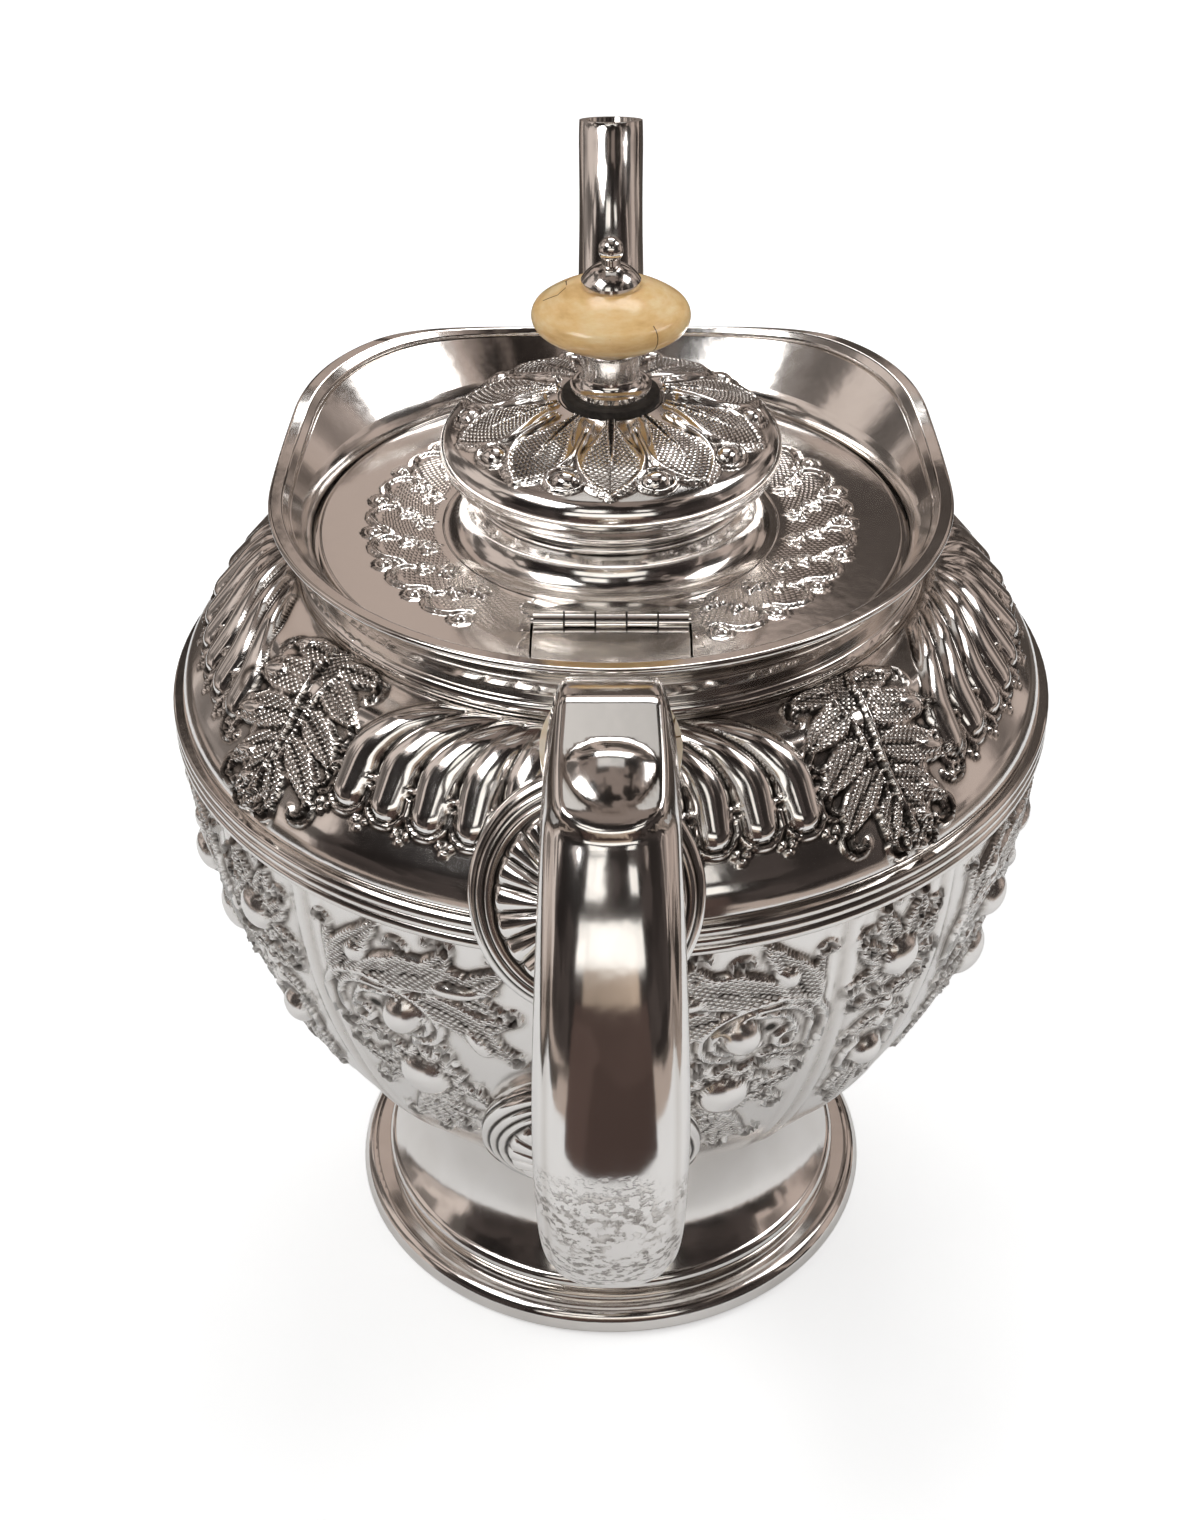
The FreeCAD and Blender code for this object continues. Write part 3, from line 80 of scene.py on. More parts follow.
# turns and rows of each skin: COARSE divides the turns, and the rows less one
BOWL_TURNS, BOWL_ROWS = 800, 177
SHOULDER_TURNS, SHOULDER_ROWS = 960, 73
LID_TURNS, LID_ROWS, LID_REACH = 800, 53, 32
DOME_TURNS, DOME_ROWS, DOME_REACH = 480, 113, 15
OVAL_TURNS, OVAL_RINGS = 256, 41

# the ornament: turns in degrees, lengths in millimetres
PANELS, SIDE_PANELS = (0, 90, 180, 270), (90, 270)
CHASING_TURN = -5.5
COLUMN_TURN = 44
ACANTHUS_TURN, ACANTHUS_OFF = 45, 0.5
CREASES = (35, 51, 129, 145, 215, 231, 309, 325)
LOBE_PITCH, LOBES_PER_SIDE = 6.2, 5
LOBE_LOW, LOBE_HIGH, LOBE_PROUD, LOBE_RUN_OUT = 8.9, 27, 1.6, 5
SWEEP, SWEEP_LOW, SIDE_LEAN = 11, 15, 3.5
WIRE_REACH, WIRE_HALF, WIRE_PROUD, WIRE_RISE = 0.475 * LOBE_PITCH, 0.3, 0.75, 3.6
SWELL_ALONG, SWELL_HALF, SWELL_PROUD = 20.5, 2.2, 0.62   # a low swell that keeps the skin over the solid
LINKS, LINK_OUT = 23, 34
HINGE_BARE = 23              # degrees at each side of the hinge without chasing
MATTE_OUT, MATTE_HATCH = (33, 25.5), 0.15
DOME_LEAVES, DOME_LEAF_OUT, DOME_BOSS_OUT = 10, 15, 19.8
# place along, half width and height
NECK_RINGS = ((0.9, 0.5, 0.5), (2.5, 0.8, 0.7), (4.2, 0.4, 0.35), (8.4, 0.45, 0.28))
OVAL_TURN, OVAL_FLUTES, FLUTE_END = -2.9, 20, 0.76
OVAL_WIRES, OVAL_WIRE_HALF, OVAL_WIRE_PROUD = (0.955, 0.88, 0.805), 0.026, 0.7


# Surfaces of revolution

def bell(away, half):
    """1 in the middle, falling on both sides."""
    return np.exp(-((away / half) ** 2))


def unit(value):
    return np.clip(value, 0, 1)


def arc(centre, radius, start, end):
    """Points and normals along an arc; angles in degrees from the outward direction."""
    turn = np.radians(np.linspace(start, end, ARC_POINTS))
    normal = np.stack([np.cos(turn), np.sin(turn)], 1)
    return np.array(centre) + radius * normal, normal


def straight(first, last, normal):
    share = np.linspace(0, 1, LINE_POINTS)[:, None]
    points = np.array(first) * (1 - share) + np.array(last) * share
    return points, np.repeat([normal], LINE_POINTS, 0)


class Rows:
    """Evenly spaced rows along joined stretches of an outline."""

    def __init__(self, stretches, count):
        points = np.concatenate([stretch[0] for stretch in stretches])
        normals = np.concatenate([stretch[1] for stretch in stretches])
        steps = np.hypot(*np.diff(points, axis=0).T)
        along = np.concatenate([[0], np.cumsum(steps)])
        self.length = np.linspace(0, along[-1], count)
        self.out, self.up = (np.interp(self.length, along, points[:, axis]) for axis in (0, 1))
        normal = np.stack([np.interp(self.length, along, normals[:, axis]) for axis in (0, 1)])
        self.normal_out, self.normal_up = normal / np.hypot(*normal)

    def at_out(self, out):
        """Length along the rows at a distance from the axis, past the widest row."""
        start = int(np.argmax(self.out))
        return float(np.interp(-out, -self.out[start:], self.length[start:]))

    def place(self, turns, height, step=1):
        """Places of the surface raised by a height, for every turn and row."""
        out = self.out[::step] + height * self.normal_out[::step]
        up = self.up[::step] + height * self.normal_up[::step]
        sine, cosine = np.sin(turns)[:, None], np.cos(turns)[:, None]
        return np.stack([out * sine, -out * cosine, up + 0 * sine], -1)


class Relief:
    """A height in millimetres over rows and turns; lengths across are true at the reach."""

    def __init__(self, rows, count, reach=DEGREE_REACH):
        self.rows, self.count, self.reach = rows, count, reach
        self.turns = np.arange(count) * FULL_TURN / count
        self.height = np.zeros((count, len(rows.length)))
        self.hatch = np.zeros_like(self.height)
        # dark holds painted shade for hollows, curls and creases deeper than the relief
        self.dark = np.zeros_like(self.height)

    def off(self, degrees):
        """Length across from a turn to every cell."""
        away = self.turns[:, None] - np.radians(degrees)
        return ((away + math.pi) % FULL_TURN - math.pi) * self.reach

    def coarse_cells(self):
        """Turn, distance from the axis and height of the middle of every coarse cell."""
        turns = self.turns[::COARSE] + FULL_TURN / self.count * COARSE / 2
        middles = slice(COARSE // 2, None, COARSE)
        return turns[:, None], self.rows.out[middles][None, :], self.rows.up[middles][None, :]

    def fade(self, first, last):
        """Let the relief run out at its first and at its last rows."""
        length = self.rows.length
        share = unit(length / first) * unit((length[-1] - length) / last)
        self.height *= share[None, :]


class Motif:
    """Draws raised forms round one place of a relief, mirrored where side is -1."""

    def __init__(self, relief, degrees, along, side=1):
        self.relief, self.along, self.side = relief, along, side
        self.turn = math.radians(degrees)

    def patch(self, middle, half):
        """Cells near a place, with their lengths across and along from the motif's own place."""
        relief, length = self.relief, self.relief.rows.length
        turn = self.turn + self.side * middle[0] / relief.reach
        along = self.along + middle[1]
        rows = np.nonzero(np.abs(length - along) < half)[0]
        step = FULL_TURN / relief.count
        span = int(half / relief.reach / step) + 1
        turns = np.arange(-span, span + 1) + int(round(turn / step))
        across = (turns * step - turn)[:, None] * relief.reach + np.zeros((1, len(rows)))
        up = (length[rows] - along)[None, :] + 0 * across
        return np.ix_(turns % relief.count, rows), self.side * across + middle[0], up + middle[1]

    def near(self, spine, margin):
        """Cells round a line of points, with their share along it and distance from it."""
        middle = (spine.min(0) + spine.max(0)) / 2
        half = np.abs(spine - middle).max() + margin
        cells, across, up = self.patch(tuple(middle), half)
        return cells, *nearest(across, up, spine)

    def lift(self, cells, height, hatch):
        """Raise cells to a height; where a form is the highest, its hatching counts."""
        relief = self.relief
        top = height > relief.height[cells]
        relief.hatch[cells] = np.where(top, hatch, relief.hatch[cells])
        relief.dark[cells] = np.where(top, 0, relief.dark[cells])
        relief.height[cells] = np.maximum(relief.height[cells], height)

    # Painted shade: darkens cells where a hollow is deeper than the relief can show.
    def paint_shade(self, cells, shade):
        self.relief.dark[cells] = np.maximum(self.relief.dark[cells], shade)

    def oval(self, middle, wide, tall, lean=0):
        """Cells round an oval, with their squared distance from its middle, 1 at its edge."""
        cells, across, up = self.patch(middle, max(wide, tall) + MARGIN)
        turn = math.radians(lean)
        x, y = across - middle[0], up - middle[1]
        x, y = x * math.cos(turn) + y * math.sin(turn), y * math.cos(turn) - x * math.sin(turn)
        return cells, (x / wide) ** 2 + (y / tall) ** 2

    def boss(self, middle, wide, tall, height, lean=0):
        """A polished oval boss."""
        cells, share = self.oval(middle, wide, tall, lean)
        self.lift(cells, height * np.sqrt(np.maximum(0, 1 - share)), 0)

    def pad(self, middle, wide, tall, height, lean=0):
        """A smooth low swelling with a soft edge."""
        cells, share = self.oval(middle, wide, tall, lean)
        self.lift(cells, height * np.maximum(0, 1 - share ** 2), 0)

    def pit(self, middle, wide, tall):
        """A hollow, sunk a little and darkened with painted shade."""
        cells, share = self.oval(middle, wide, tall)
        # painted shade in the hollow
        self.paint_shade(cells, unit(1.6 - 1.6 * share))
        self.relief.height[cells] *= np.where(share < 1, 0.55, 1)

    def stroke(self, spine, width, height, taper=0.5):
        """A round ridge along a line of points, thinner at its ends."""
        cells, share, distance = self.near(np.array(spine, float), width + MARGIN)
        half = width * (1 - taper * np.abs(2 * share - 1) ** 2)
        bulge = np.sqrt(np.maximum(0, 1 - (distance / half) ** 2))
        self.lift(cells, height * bulge * (0.5 + 0.5 * half / width), 0)

    def leaf(self, spine, width, height, vein=0.25, hatch=1):
        """A pointed leaf along a spine: hatched, with a raised outline and a sunk vein."""
        cells, share, distance = self.near(np.array(spine, float), width + MARGIN)
        half = width * np.maximum(0.05, np.sin(math.pi * unit(share) ** 0.72)) ** 0.7
        edge = distance / half
        inside = edge < 1
        face = 0.72 * (1 - np.minimum(1, edge) ** 6) + 0.3 * bell(edge - 0.8, 0.16)
        face -= vein * bell(edge, 0.14)
        self.lift(cells, np.where(inside, height * face, 0), np.where(edge < 0.72, hatch, 0))

    def curl(self, start, heading, hand, radius, width, height):
        """A rolled tip: a pointed hook of painted shade between two thin ridges."""
        ahead = np.array([math.cos(heading), math.sin(heading)])
        square = hand * np.array([-ahead[1], ahead[0]])
        turn = np.linspace(0, 1.1 * math.pi, 14)[:, None]
        spine = np.array(start) + radius * (square + np.sin(turn) * ahead - np.cos(turn) * square)
        cells, share, distance = self.near(spine, 3 * width)
        half = width * (1.1 - share)
        ridges = bell(distance - 1.5 * half, 0.26) * (distance > half)
        self.lift(cells, height * ridges, 0)
        # painted shade inside the hook, where the undercut would be
        self.paint_shade(cells, unit(2.4 - 2 * distance / half))

    def lobe(self, first, last, width, height, bend, hand):
        """A hatched leaf lobe from first to last; hand rolls its tip to one side."""
        first, last = np.array(first, float), np.array(last, float)
        run = last - first
        pull = (first + last) / 2 + bend * np.array([-run[1], run[0]])
        spine = curve(first, pull, last)
        self.leaf(spine, width, height)
        run = spine[-1] - spine[-2]
        heading = math.atan2(run[1], run[0])
        self.curl(spine[-1], heading, hand, 0.55 * width + 0.2, 0.42, 0.8 * height)

    def scroll(self, middle, radius, start, end, width, height, inner=1):
        """A ridge along an arc or a spiral, by angles in degrees."""
        turn = np.radians(np.linspace(start, end, 30))
        reach = radius * np.linspace(1, inner, 30)
        spine = np.stack([middle[0] + reach * np.cos(turn), middle[1] + reach * np.sin(turn)], 1)
        self.stroke(spine, width, height, 0.3)


def nearest(across, up, spine):
    """Share along a line of points and distance from it, for every cell."""
    best = np.full(across.shape, 1e9)
    share = np.zeros(across.shape)
    count = len(spine) - 1
    for number in range(count):
        start, run = spine[number], spine[number + 1] - spine[number]
        square = max(1e-9, float(run @ run))
        part = unit(((across - start[0]) * run[0] + (up - start[1]) * run[1]) / square)
        distance = np.hypot(across - start[0] - part * run[0], up - start[1] - part * run[1])
        closer = distance < best
        best = np.where(closer, distance, best)
        share = np.where(closer, (number + part) / count, share)
    return share, best


def curve(first, pull, last):
    """Points of a line that bends from first to last towards a pull."""
    share = np.linspace(0, 1, 9)[:, None]
    first, pull, last = np.array(first), np.array(pull), np.array(last)
    return first * (1 - share) ** 2 + 2 * pull * share * (1 - share) + last * share ** 2


def smooth_line(points):
    points = np.array(points, float)
    ends = np.concatenate([[2 * points[0] - points[1]], points, [2 * points[-1] - points[-2]]])
    line = []
    for place in np.linspace(0, len(points) - 1, LINE_POINTS):
        number = min(int(place), len(points) - 2)
        t = place - number
        a, b, c, d = ends[number:number + 4]
        line.append(b + 0.5 * t * (c - a + t * (2 * a - 5 * b + 4 * c - d + t * (3 * (b - c) + d - a))))
    return np.array(line)


def blurred(field, rounds):
    for _ in range(rounds):
        field = (field + np.roll(field, 1, 0) + np.roll(field, -1, 0)) / 3
        padded = np.pad(field, ((0, 0), (1, 1)), mode="edge")
        field = (padded[:, :-2] + padded[:, 1:-1] + padded[:, 2:]) / 3
    return field


def recess_of(height):
    """How deep each place lies among its near and its wider neighbours, from 0 to 1."""
    depth = 0
    for rounds, weight in ((2, 3.6), (14, 0.6)):
        depth = depth + weight * (blurred(height, rounds) - height)
    return unit(depth)


# Meshes

def add_object(name, data):
    item = bpy.data.objects.new(name, data)
    bpy.context.scene.collection.objects.link(item)
    return item


def make_object(name, places, faces, body, material, values, flat_from):
    """A silver piece from places in millimetres; values are painted on its points."""
    mesh = bpy.data.meshes.new(name)
    mesh.from_pydata((np.asarray(places) * MM).tolist(), [], faces)
    smooth = np.ones(len(mesh.polygons), bool)
    smooth[flat_from:] = False
    mesh.polygons.foreach_set("use_smooth", smooth)
    for label, field in values.items():
        layer = mesh.attributes.new(label, "FLOAT", "POINT")
        layer.data.foreach_set("value", np.asarray(field, np.float32))
    mesh.validate()
    mesh.materials.append(material)
    piece = add_object(name, mesh)
    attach(piece, body)
    return piece


def grid_faces(first, across, along, wrap, keep=None, flip=False):
    """Quads of a grid of points numbered from first, along running fastest."""
    if keep is None:
        keep = np.ones((across if wrap else across - 1, along - 1), bool)
    i, j = np.nonzero(keep)
    k = (i + 1) % across
    quads = [i * along + j, k * along + j, k * along + j + 1, i * along + j + 1]
    quads = first + np.stack(quads[::-1] if flip else quads, 1)
    return quads.tolist()


def tube_faces(first, rings, count, wrap):
    """Quads of a tube of rings; wrap joins its last ring to its first."""
    ring = np.arange(rings if wrap else rings - 1)
    here, there = first + ring * count, first + (ring + 1) % rings * count
    seam = np.stack([here, there, there + count - 1, here + count - 1], 1)
    return grid_faces(first, rings, count, wrap, flip=True) + seam.tolist()


def shell(name, outer, inner, body, material, values, keep=None):
    """A closed thin skin with a fine outside and a coarse hidden inside; keep marks its coarse cells."""
    across, along = outer.shape[:2]
    coarse_across, coarse_along = inner.shape[:2]
    if keep is None:
        keep = np.ones((coarse_across, coarse_along - 1), bool)
    fine_keep = np.repeat(np.repeat(keep, COARSE, 0), COARSE, 1)
    faces = grid_faces(0, across, along, True, fine_keep)
    hidden = across * along
    faces += grid_faces(hidden, coarse_across, coarse_along, True, keep, True)
    walls = len(faces)
    around = np.pad(keep, ((0, 0), (1, 1)))
    before, after = np.roll(keep, 1, 0), np.roll(keep, -1, 0)
    sides = [
        (keep & ~around[:, :-2], (0, 0), (1, 0)),
        (keep & ~around[:, 2:], (1, 1), (-1, 0)),
        (keep & ~after, (1, 0), (0, 1)),
        (keep & ~before, (0, 1), (0, -1)),
    ]
    for open_cells, corner, run in sides:
        for i, j in np.argwhere(open_cells) + corner:
            fine = []
            for step in range(COARSE, -1, -1):
                turn = (i * COARSE + step * run[0]) % across
                fine.append(turn * along + j * COARSE + step * run[1])
            back = hidden + i % coarse_across * coarse_along + j
            front = hidden + (i + run[0]) % coarse_across * coarse_along + j + run[1]
            faces.append([back, front, *fine])
    places = np.concatenate([outer.reshape(-1, 3), inner.reshape(-1, 3)])
    used = np.zeros(len(places), bool)
    used[np.concatenate(faces)] = True
    numbers = (np.cumsum(used) - 1).tolist()
    faces = [[numbers[corner] for corner in face] for face in faces]
    unpainted = np.zeros(len(places) - hidden)
    values = {label: np.concatenate([field.ravel(), unpainted])[used] for label, field in values.items()}
    make_object(name, places[used], faces, body, material, values, walls)


def unhatched(recess):
    """What is painted on a chased piece with no hatching."""
    blank = 0 * recess
    return {"recess": recess, "hatch": blank, "across": blank, "along": blank}


def chased(name, relief, body, material, keep=None, shade=1, finer=1):
    """A skin from a relief; shade darkens its recesses, finer closes its hatching up."""
    rows, turns = relief.rows, relief.turns
    outer = rows.place(turns, SKIN_BASE + relief.height)
    inner = rows.place(turns[::COARSE], -SKIN_SINK, COARSE)
    values = {
        # recess: patina in the hollows, and the painted shade of curls, pits and creases
        "recess": np.maximum(shade * recess_of(relief.height), blurred(relief.dark, 1)),
        "hatch": blurred(relief.hatch, 1),
        "across": finer * turns[:, None] * relief.reach + 0 * relief.height,
        "along": finer * rows.length[None, :] + 0 * relief.height,
    }
    shell(name, outer, inner, body, material, values, keep)


# Materials

class Nodes:
    """The nodes of a new material or world, and helpers to wire them."""

    def __init__(self, name, blocks=bpy.data.materials):
        self.block = blocks.new(name)
        self.block.use_nodes = True
        self.tree = self.block.node_tree
        self.shader = self.tree.nodes.get("Principled BSDF")

    def feed(self, socket, item):
        """Link another node's output to a socket, or set the socket's value."""
        if isinstance(item, bpy.types.NodeSocket):
            self.tree.links.new(item, socket)
        else:
            socket.default_value = item

    def add(self, kind, **settings):
        node = self.tree.nodes.new(kind)
        for label, setting in settings.items():
            if label in node.inputs:
                self.feed(node.inputs[label], setting)
            else:
                setattr(node, label, setting)
        return node

    def set(self, settings):
        for label, setting in settings.items():
            self.feed(self.shader.inputs[label], setting)

    def surface(self, tone, rough, normal):
        self.set({"Base Color": tone, "Roughness": rough, "Normal": normal})

    def painted(self, label):
        return self.add("ShaderNodeAttribute", attribute_name=label).outputs["Fac"]

    def ramp(self, value, stops):
        node = self.add("ShaderNodeValToRGB", Fac=value)
        ramp = node.color_ramp
        for element, (place, _) in zip(ramp.elements, (stops[0], stops[-1])):
            element.position = place
        for place, _ in stops[1:-1]:
            ramp.elements.new(place)
        for element, (_, colour) in zip(ramp.elements, stops):
            element.color = (*colour, 1)
        return node.outputs["Color"]

    def where(self, stretch=(1, 1, 1)):
        """Places in the piece's own space, in metres."""
        place = self.add("ShaderNodeTexCoord").outputs["Object"]
        return self.add("ShaderNodeMapping", Vector=place, Scale=stretch).outputs["Vector"]

    def noise(self, scale, detail=4, roughness=0.55, stretch=(1, 1, 1)):
        settings = {"Scale": scale, "Detail": detail, "Roughness": roughness}
        return self.add("ShaderNodeTexNoise", Vector=self.where(stretch), **settings).outputs["Fac"]

    def maths(self, operation, first, second):
        node = self.add("ShaderNodeMath", operation=operation)
        self.feed(node.inputs[0], first)
        self.feed(node.inputs[1], second)
        return node.outputs[0]

    def spread(self, value, low, high, start=0, end=1):
        """A value from start to end spread over another range."""
        ranges = {"From Min": start, "From Max": end, "To Min": low, "To Max": high}
        return self.add("ShaderNodeMapRange", Value=value, **ranges).outputs["Result"]

    def bump(self, height, distance, strength=1, under=None):
        node = self.add("ShaderNodeBump", Height=height, Strength=strength, Distance=distance)
        if under is not None:
            self.feed(node.inputs["Normal"], under)
        return node.outputs["Normal"]


CLEAN_SILVER = (0.90, 0.875, 0.85)
WORN_SILVER = (0.76, 0.725, 0.69)
DULL_SILVER = (0.36, 0.33, 0.305)
DARK_SILVER = (0.045, 0.04, 0.036)


def silver_base(name, matte=0):
    """Polished silver with clouds, dents and fine scratches; matte makes it rougher."""
    nodes = Nodes(name)
    nodes.set({"Metallic": 1})
    clouds = nodes.noise(60, 3)
    scratches = nodes.noise(900, 2, 0.6, (1, 1, 0.12))
    dents = nodes.noise(220, 2)
    cloudy = nodes.spread(clouds, 0.05 + matte, 0.12 + matte)
    rough = nodes.maths("ADD", cloudy, nodes.spread(scratches, 0, 0.06))
    normal = nodes.bump(dents, 0.00006, 0.5)
    normal = nodes.bump(scratches, 0.000004, 0.5, normal)
    return nodes, clouds, rough, normal


def make_silver_plain():
    nodes, clouds, rough, normal = silver_base("silver_plain")
    tone = nodes.ramp(clouds, [(0.25, WORN_SILVER), (0.7, CLEAN_SILVER)])
    nodes.surface(tone, rough, normal)
    return nodes.block


def make_silver_chased(name, matte):
    """Silver darkened by its recess value (patina, and painted shade in curls, pits and creases), with
    punched dots on its leaves.
    """
    nodes, _, rough, normal = silver_base(name, matte)
    recess, hatch = nodes.painted("recess"), nodes.painted("hatch")
    flat = nodes.add("ShaderNodeCombineXYZ", X=nodes.painted("across"), Y=nodes.painted("along"))
    turned = nodes.add("ShaderNodeMapping", Vector=flat.outputs["Vector"], Scale=(1, 1.45, 1))
    turned.inputs["Rotation"].default_value = (0, 0, math.radians(32))
    punch = nodes.add("ShaderNodeTexVoronoi", Vector=turned.outputs["Vector"], Scale=1.15, Randomness=0.15)
    dots = nodes.spread(punch.outputs["Distance"], 0, 1, 0.22, 0.55)
    cuts = nodes.maths("MULTIPLY", dots, hatch)
    specks = nodes.spread(nodes.noise(700, 3), -0.3, 0.3)
    depth = nodes.maths("ADD", recess, nodes.maths("MULTIPLY", specks, recess))
    depth = nodes.maths("ADD", depth, nodes.maths("MULTIPLY", cuts, 0.46))
    stops = [(0.03, CLEAN_SILVER), (0.2, WORN_SILVER), (0.42, DULL_SILVER), (0.7, DARK_SILVER)]
    tone = nodes.ramp(depth, stops)
    dull = nodes.maths("ADD", rough, nodes.maths("MULTIPLY", depth, 0.25))
    nodes.surface(tone, dull, nodes.bump(cuts, -0.0002, 0.9, normal))
    return nodes.block


def make_silver_worn():
    """The handle's silver: dull in its grooves, pitted in patches where it is worn."""
    nodes, _, rough, normal = silver_base("silver_worn")
    recess, wear = nodes.painted("recess"), nodes.painted("wear")
    pits = nodes.spread(nodes.noise(850, 4, 0.65), 0, 1, 0.5, 0.58)
    patches = nodes.spread(nodes.noise(150, 3), 0, 1, 0.38, 0.56)
    pits = nodes.maths("MULTIPLY", nodes.maths("MULTIPLY", pits, patches), wear)
    depth = nodes.maths("ADD", recess, nodes.maths("MULTIPLY", pits, 0.6))
    tone = nodes.ramp(depth, [(0.03, CLEAN_SILVER), (0.25, WORN_SILVER), (0.5, DULL_SILVER)])
    dull = nodes.maths("ADD", rough, nodes.maths("MULTIPLY", wear, 0.22))
    nodes.surface(tone, dull, nodes.bump(pits, -0.0002, 0.9, normal))
    return nodes.block


def make_ivory(name, deep, middle, pale):
    """Cream, polished horn or bone with growth bands and fine dark cracks."""
    nodes = Nodes(name)
    grain = nodes.noise(150, 5, 0.6, (1, 1, 3.5))
    place = nodes.where((1, 1, 0.35))
    cracks = nodes.add("ShaderNodeTexVoronoi", feature="DISTANCE_TO_EDGE", Vector=place, Scale=150)
    tone = nodes.ramp(grain, [(0.3, deep), (0.5, middle), (0.7, pale)])
    thin = nodes.maths("LESS_THAN", cracks.outputs["Distance"], 0.012)
    some = nodes.maths("MULTIPLY", thin, nodes.maths("GREATER_THAN", nodes.noise(90, 2), 0.56))
    mix = nodes.add("ShaderNodeMix", data_type="RGBA", Factor=some)
    first_colour, second_colour, mixed_colour = 6, 7, 2   # the mix node's colour sockets share their names
    nodes.feed(mix.inputs[first_colour], tone)
    nodes.feed(mix.inputs[second_colour], (0.16, 0.09, 0.04, 1))
    nodes.surface(mix.outputs[mixed_colour], nodes.spread(grain, 0.1, 0.24), nodes.bump(grain, 0.00008, 0.4))
    nodes.set({"Subsurface Weight": 0.15, "Subsurface Radius": (0.002, 0.0012, 0.0006)})
    return nodes.block


def make_washer():
    nodes = Nodes("dark_fibre")
    grain = nodes.noise(900, 4)
    tone = nodes.ramp(grain, [(0.3, (0.018, 0.015, 0.013)), (0.7, (0.05, 0.043, 0.037))])
    nodes.surface(tone, nodes.spread(grain, 0.55, 0.8), nodes.bump(grain, 0.00006))
    nodes.set({"Specular IOR Level": 0.2})
    return nodes.block


SILVER_PLAIN = make_silver_plain()
SILVER_CHASED = make_silver_chased("silver_chased", 0)
SILVER_PLANISHED = make_silver_chased("silver_planished", 0.1)
SILVER_WORN = make_silver_worn()
IVORY = make_ivory("ivory", (0.66, 0.38, 0.14), (0.83, 0.55, 0.25), (0.91, 0.70, 0.40))
PALE_IVORY = make_ivory("ivory_pale", (0.70, 0.56, 0.40), (0.80, 0.68, 0.52), (0.88, 0.79, 0.66))
WASHER = make_washer()


def dress_cad_nodes():
    slots = {part["node"]: part["material_slot"] for part in frame["record"]["subparts"]}
    looks = {"silver": SILVER_PLAIN, "ivory": IVORY, "washer": WASHER}
    for name, node in frame["nodes"].items():
        node.data.materials.clear()
        pale = name.endswith("_insulator")
        node.data.materials.append(PALE_IVORY if pale else looks[slots[name]])


# Chased bowl; places are degrees from the panel's middle and millimetres up the wall

def crease(relief, degrees):
    """An upright fold in the bowl: a groove of painted shade between two soft swells."""
    swell, away, soft = 0.34, 1.5, 0.85
    shade, narrow = 0.3, 0.75
    across = np.abs(relief.off(degrees + CHASING_TURN))
    relief.height += swell * bell(across - away, soft)
    # painted shade along the groove's middle
    relief.dark = np.maximum(relief.dark, shade * bell(across, narrow))


def flower(motif, middle, wide, tall, petals, height):
    """A polished oval boss in a ring of veined petals, every second one with a rolled tip."""
    inner, outer, first_angle, roll_angle = 0.8, 1.6, 0.3, 0.6
    for number in range(petals):
        angle = FULL_TURN * number / petals + first_angle
        ahead = np.array([wide * math.cos(angle), tall * math.sin(angle)])
        start, end = np.array(middle) + inner * ahead, np.array(middle) + outer * ahead
        motif.leaf([start, (start + end) / 2, end], 0.46 * wide, 0.4 * height, vein=0.3, hatch=0.6)
        if number % 2:
            motif.curl(end, angle + roll_angle, -1, 0.24 * wide, 0.36, 0.45 * height)
    motif.boss(middle, wide, tall, height)


def upper_acanthus(motif):
    motif.leaf(curve((27, 15.5), (18, 20.5), (8.5, 18)), 3.5, 1.1)
    motif.lobe((23, 17.5), (20.6, 22), 1.6, 1.05, 0.1, -1)
    motif.lobe((18, 18.5), (14.6, 24), 2.1, 1.15, 0.15, -1)
    motif.lobe((12.5, 18.5), (7.2, 22.6), 1.7, 1.1, 0.1, -1)
    motif.lobe((13, 16.5), (8.6, 14.4), 1.5, 1, -0.1, 1)
    motif.boss((13.6, 17.5), 3.9, 1.5, 1.75, -6)


def lower_acanthus(motif):
    motif.leaf(curve((19, 13.5), (12.5, 13.5), (8, 4.5)), 3.1, 1.1)
    motif.lobe((12.5, 11.5), (6.8, 12.6), 1.7, 1.05, 0.15, -1)
    motif.lobe((11.5, 7.5), (6.4, 5.2), 1.4, 1, -0.1, 1)
    motif.boss((11.2, 7.6), 1.4, 3.4, 1.7, -24)


def bud(motif):
    motif.leaf(curve((31, 11.5), (29.5, 18), (25, 24.5)), 3, 1.1)
    motif.lobe((27, 21.5), (24.2, 26), 1.3, 1, 0.1, -1)
    motif.lobe((31.2, 13), (32, 22), 1.2, 0.95, 0.05, -1)
    motif.boss((27.4, 19.2), 1.6, 2.4, 1.6, 18)


def eye(motif):
    """A boss in a nest of scrolls."""
    outer = [(33.2, 3.5), (33.4, 9.5), (30.5, 14), (25, 15.4),
             (19.4, 13.4), (16.6, 9.4), (17.4, 5.2), (21, 3.8)]
    inner = [(31.6, 4), (31.6, 9.2), (29.2, 12.6), (25, 13.7),
             (20.8, 12.2), (18.2, 9.2), (18.8, 6.2), (21.4, 5)]
    motif.stroke(smooth_line(outer), 0.62, 1.15)
    motif.stroke(smooth_line(inner), 0.5, 1)
    motif.stroke(smooth_line([(30, 6.5), (28, 11), (25, 12.2), (22.6, 12.4)]), 0.42, 0.85)
    motif.boss((21.8, 9), 2.8, 3.6, 2.6, 20)
    motif.scroll((28.4, 6.2), 2, 60, 430, 0.5, 0.95, 0.3)
    motif.pit((26, 9), 1.2, 1)
    motif.pit((28.4, 6.2), 0.7, 0.7)
    motif.lobe((25, 3.6), (31, 1.6), 1.3, 0.9, 0.1, 1)


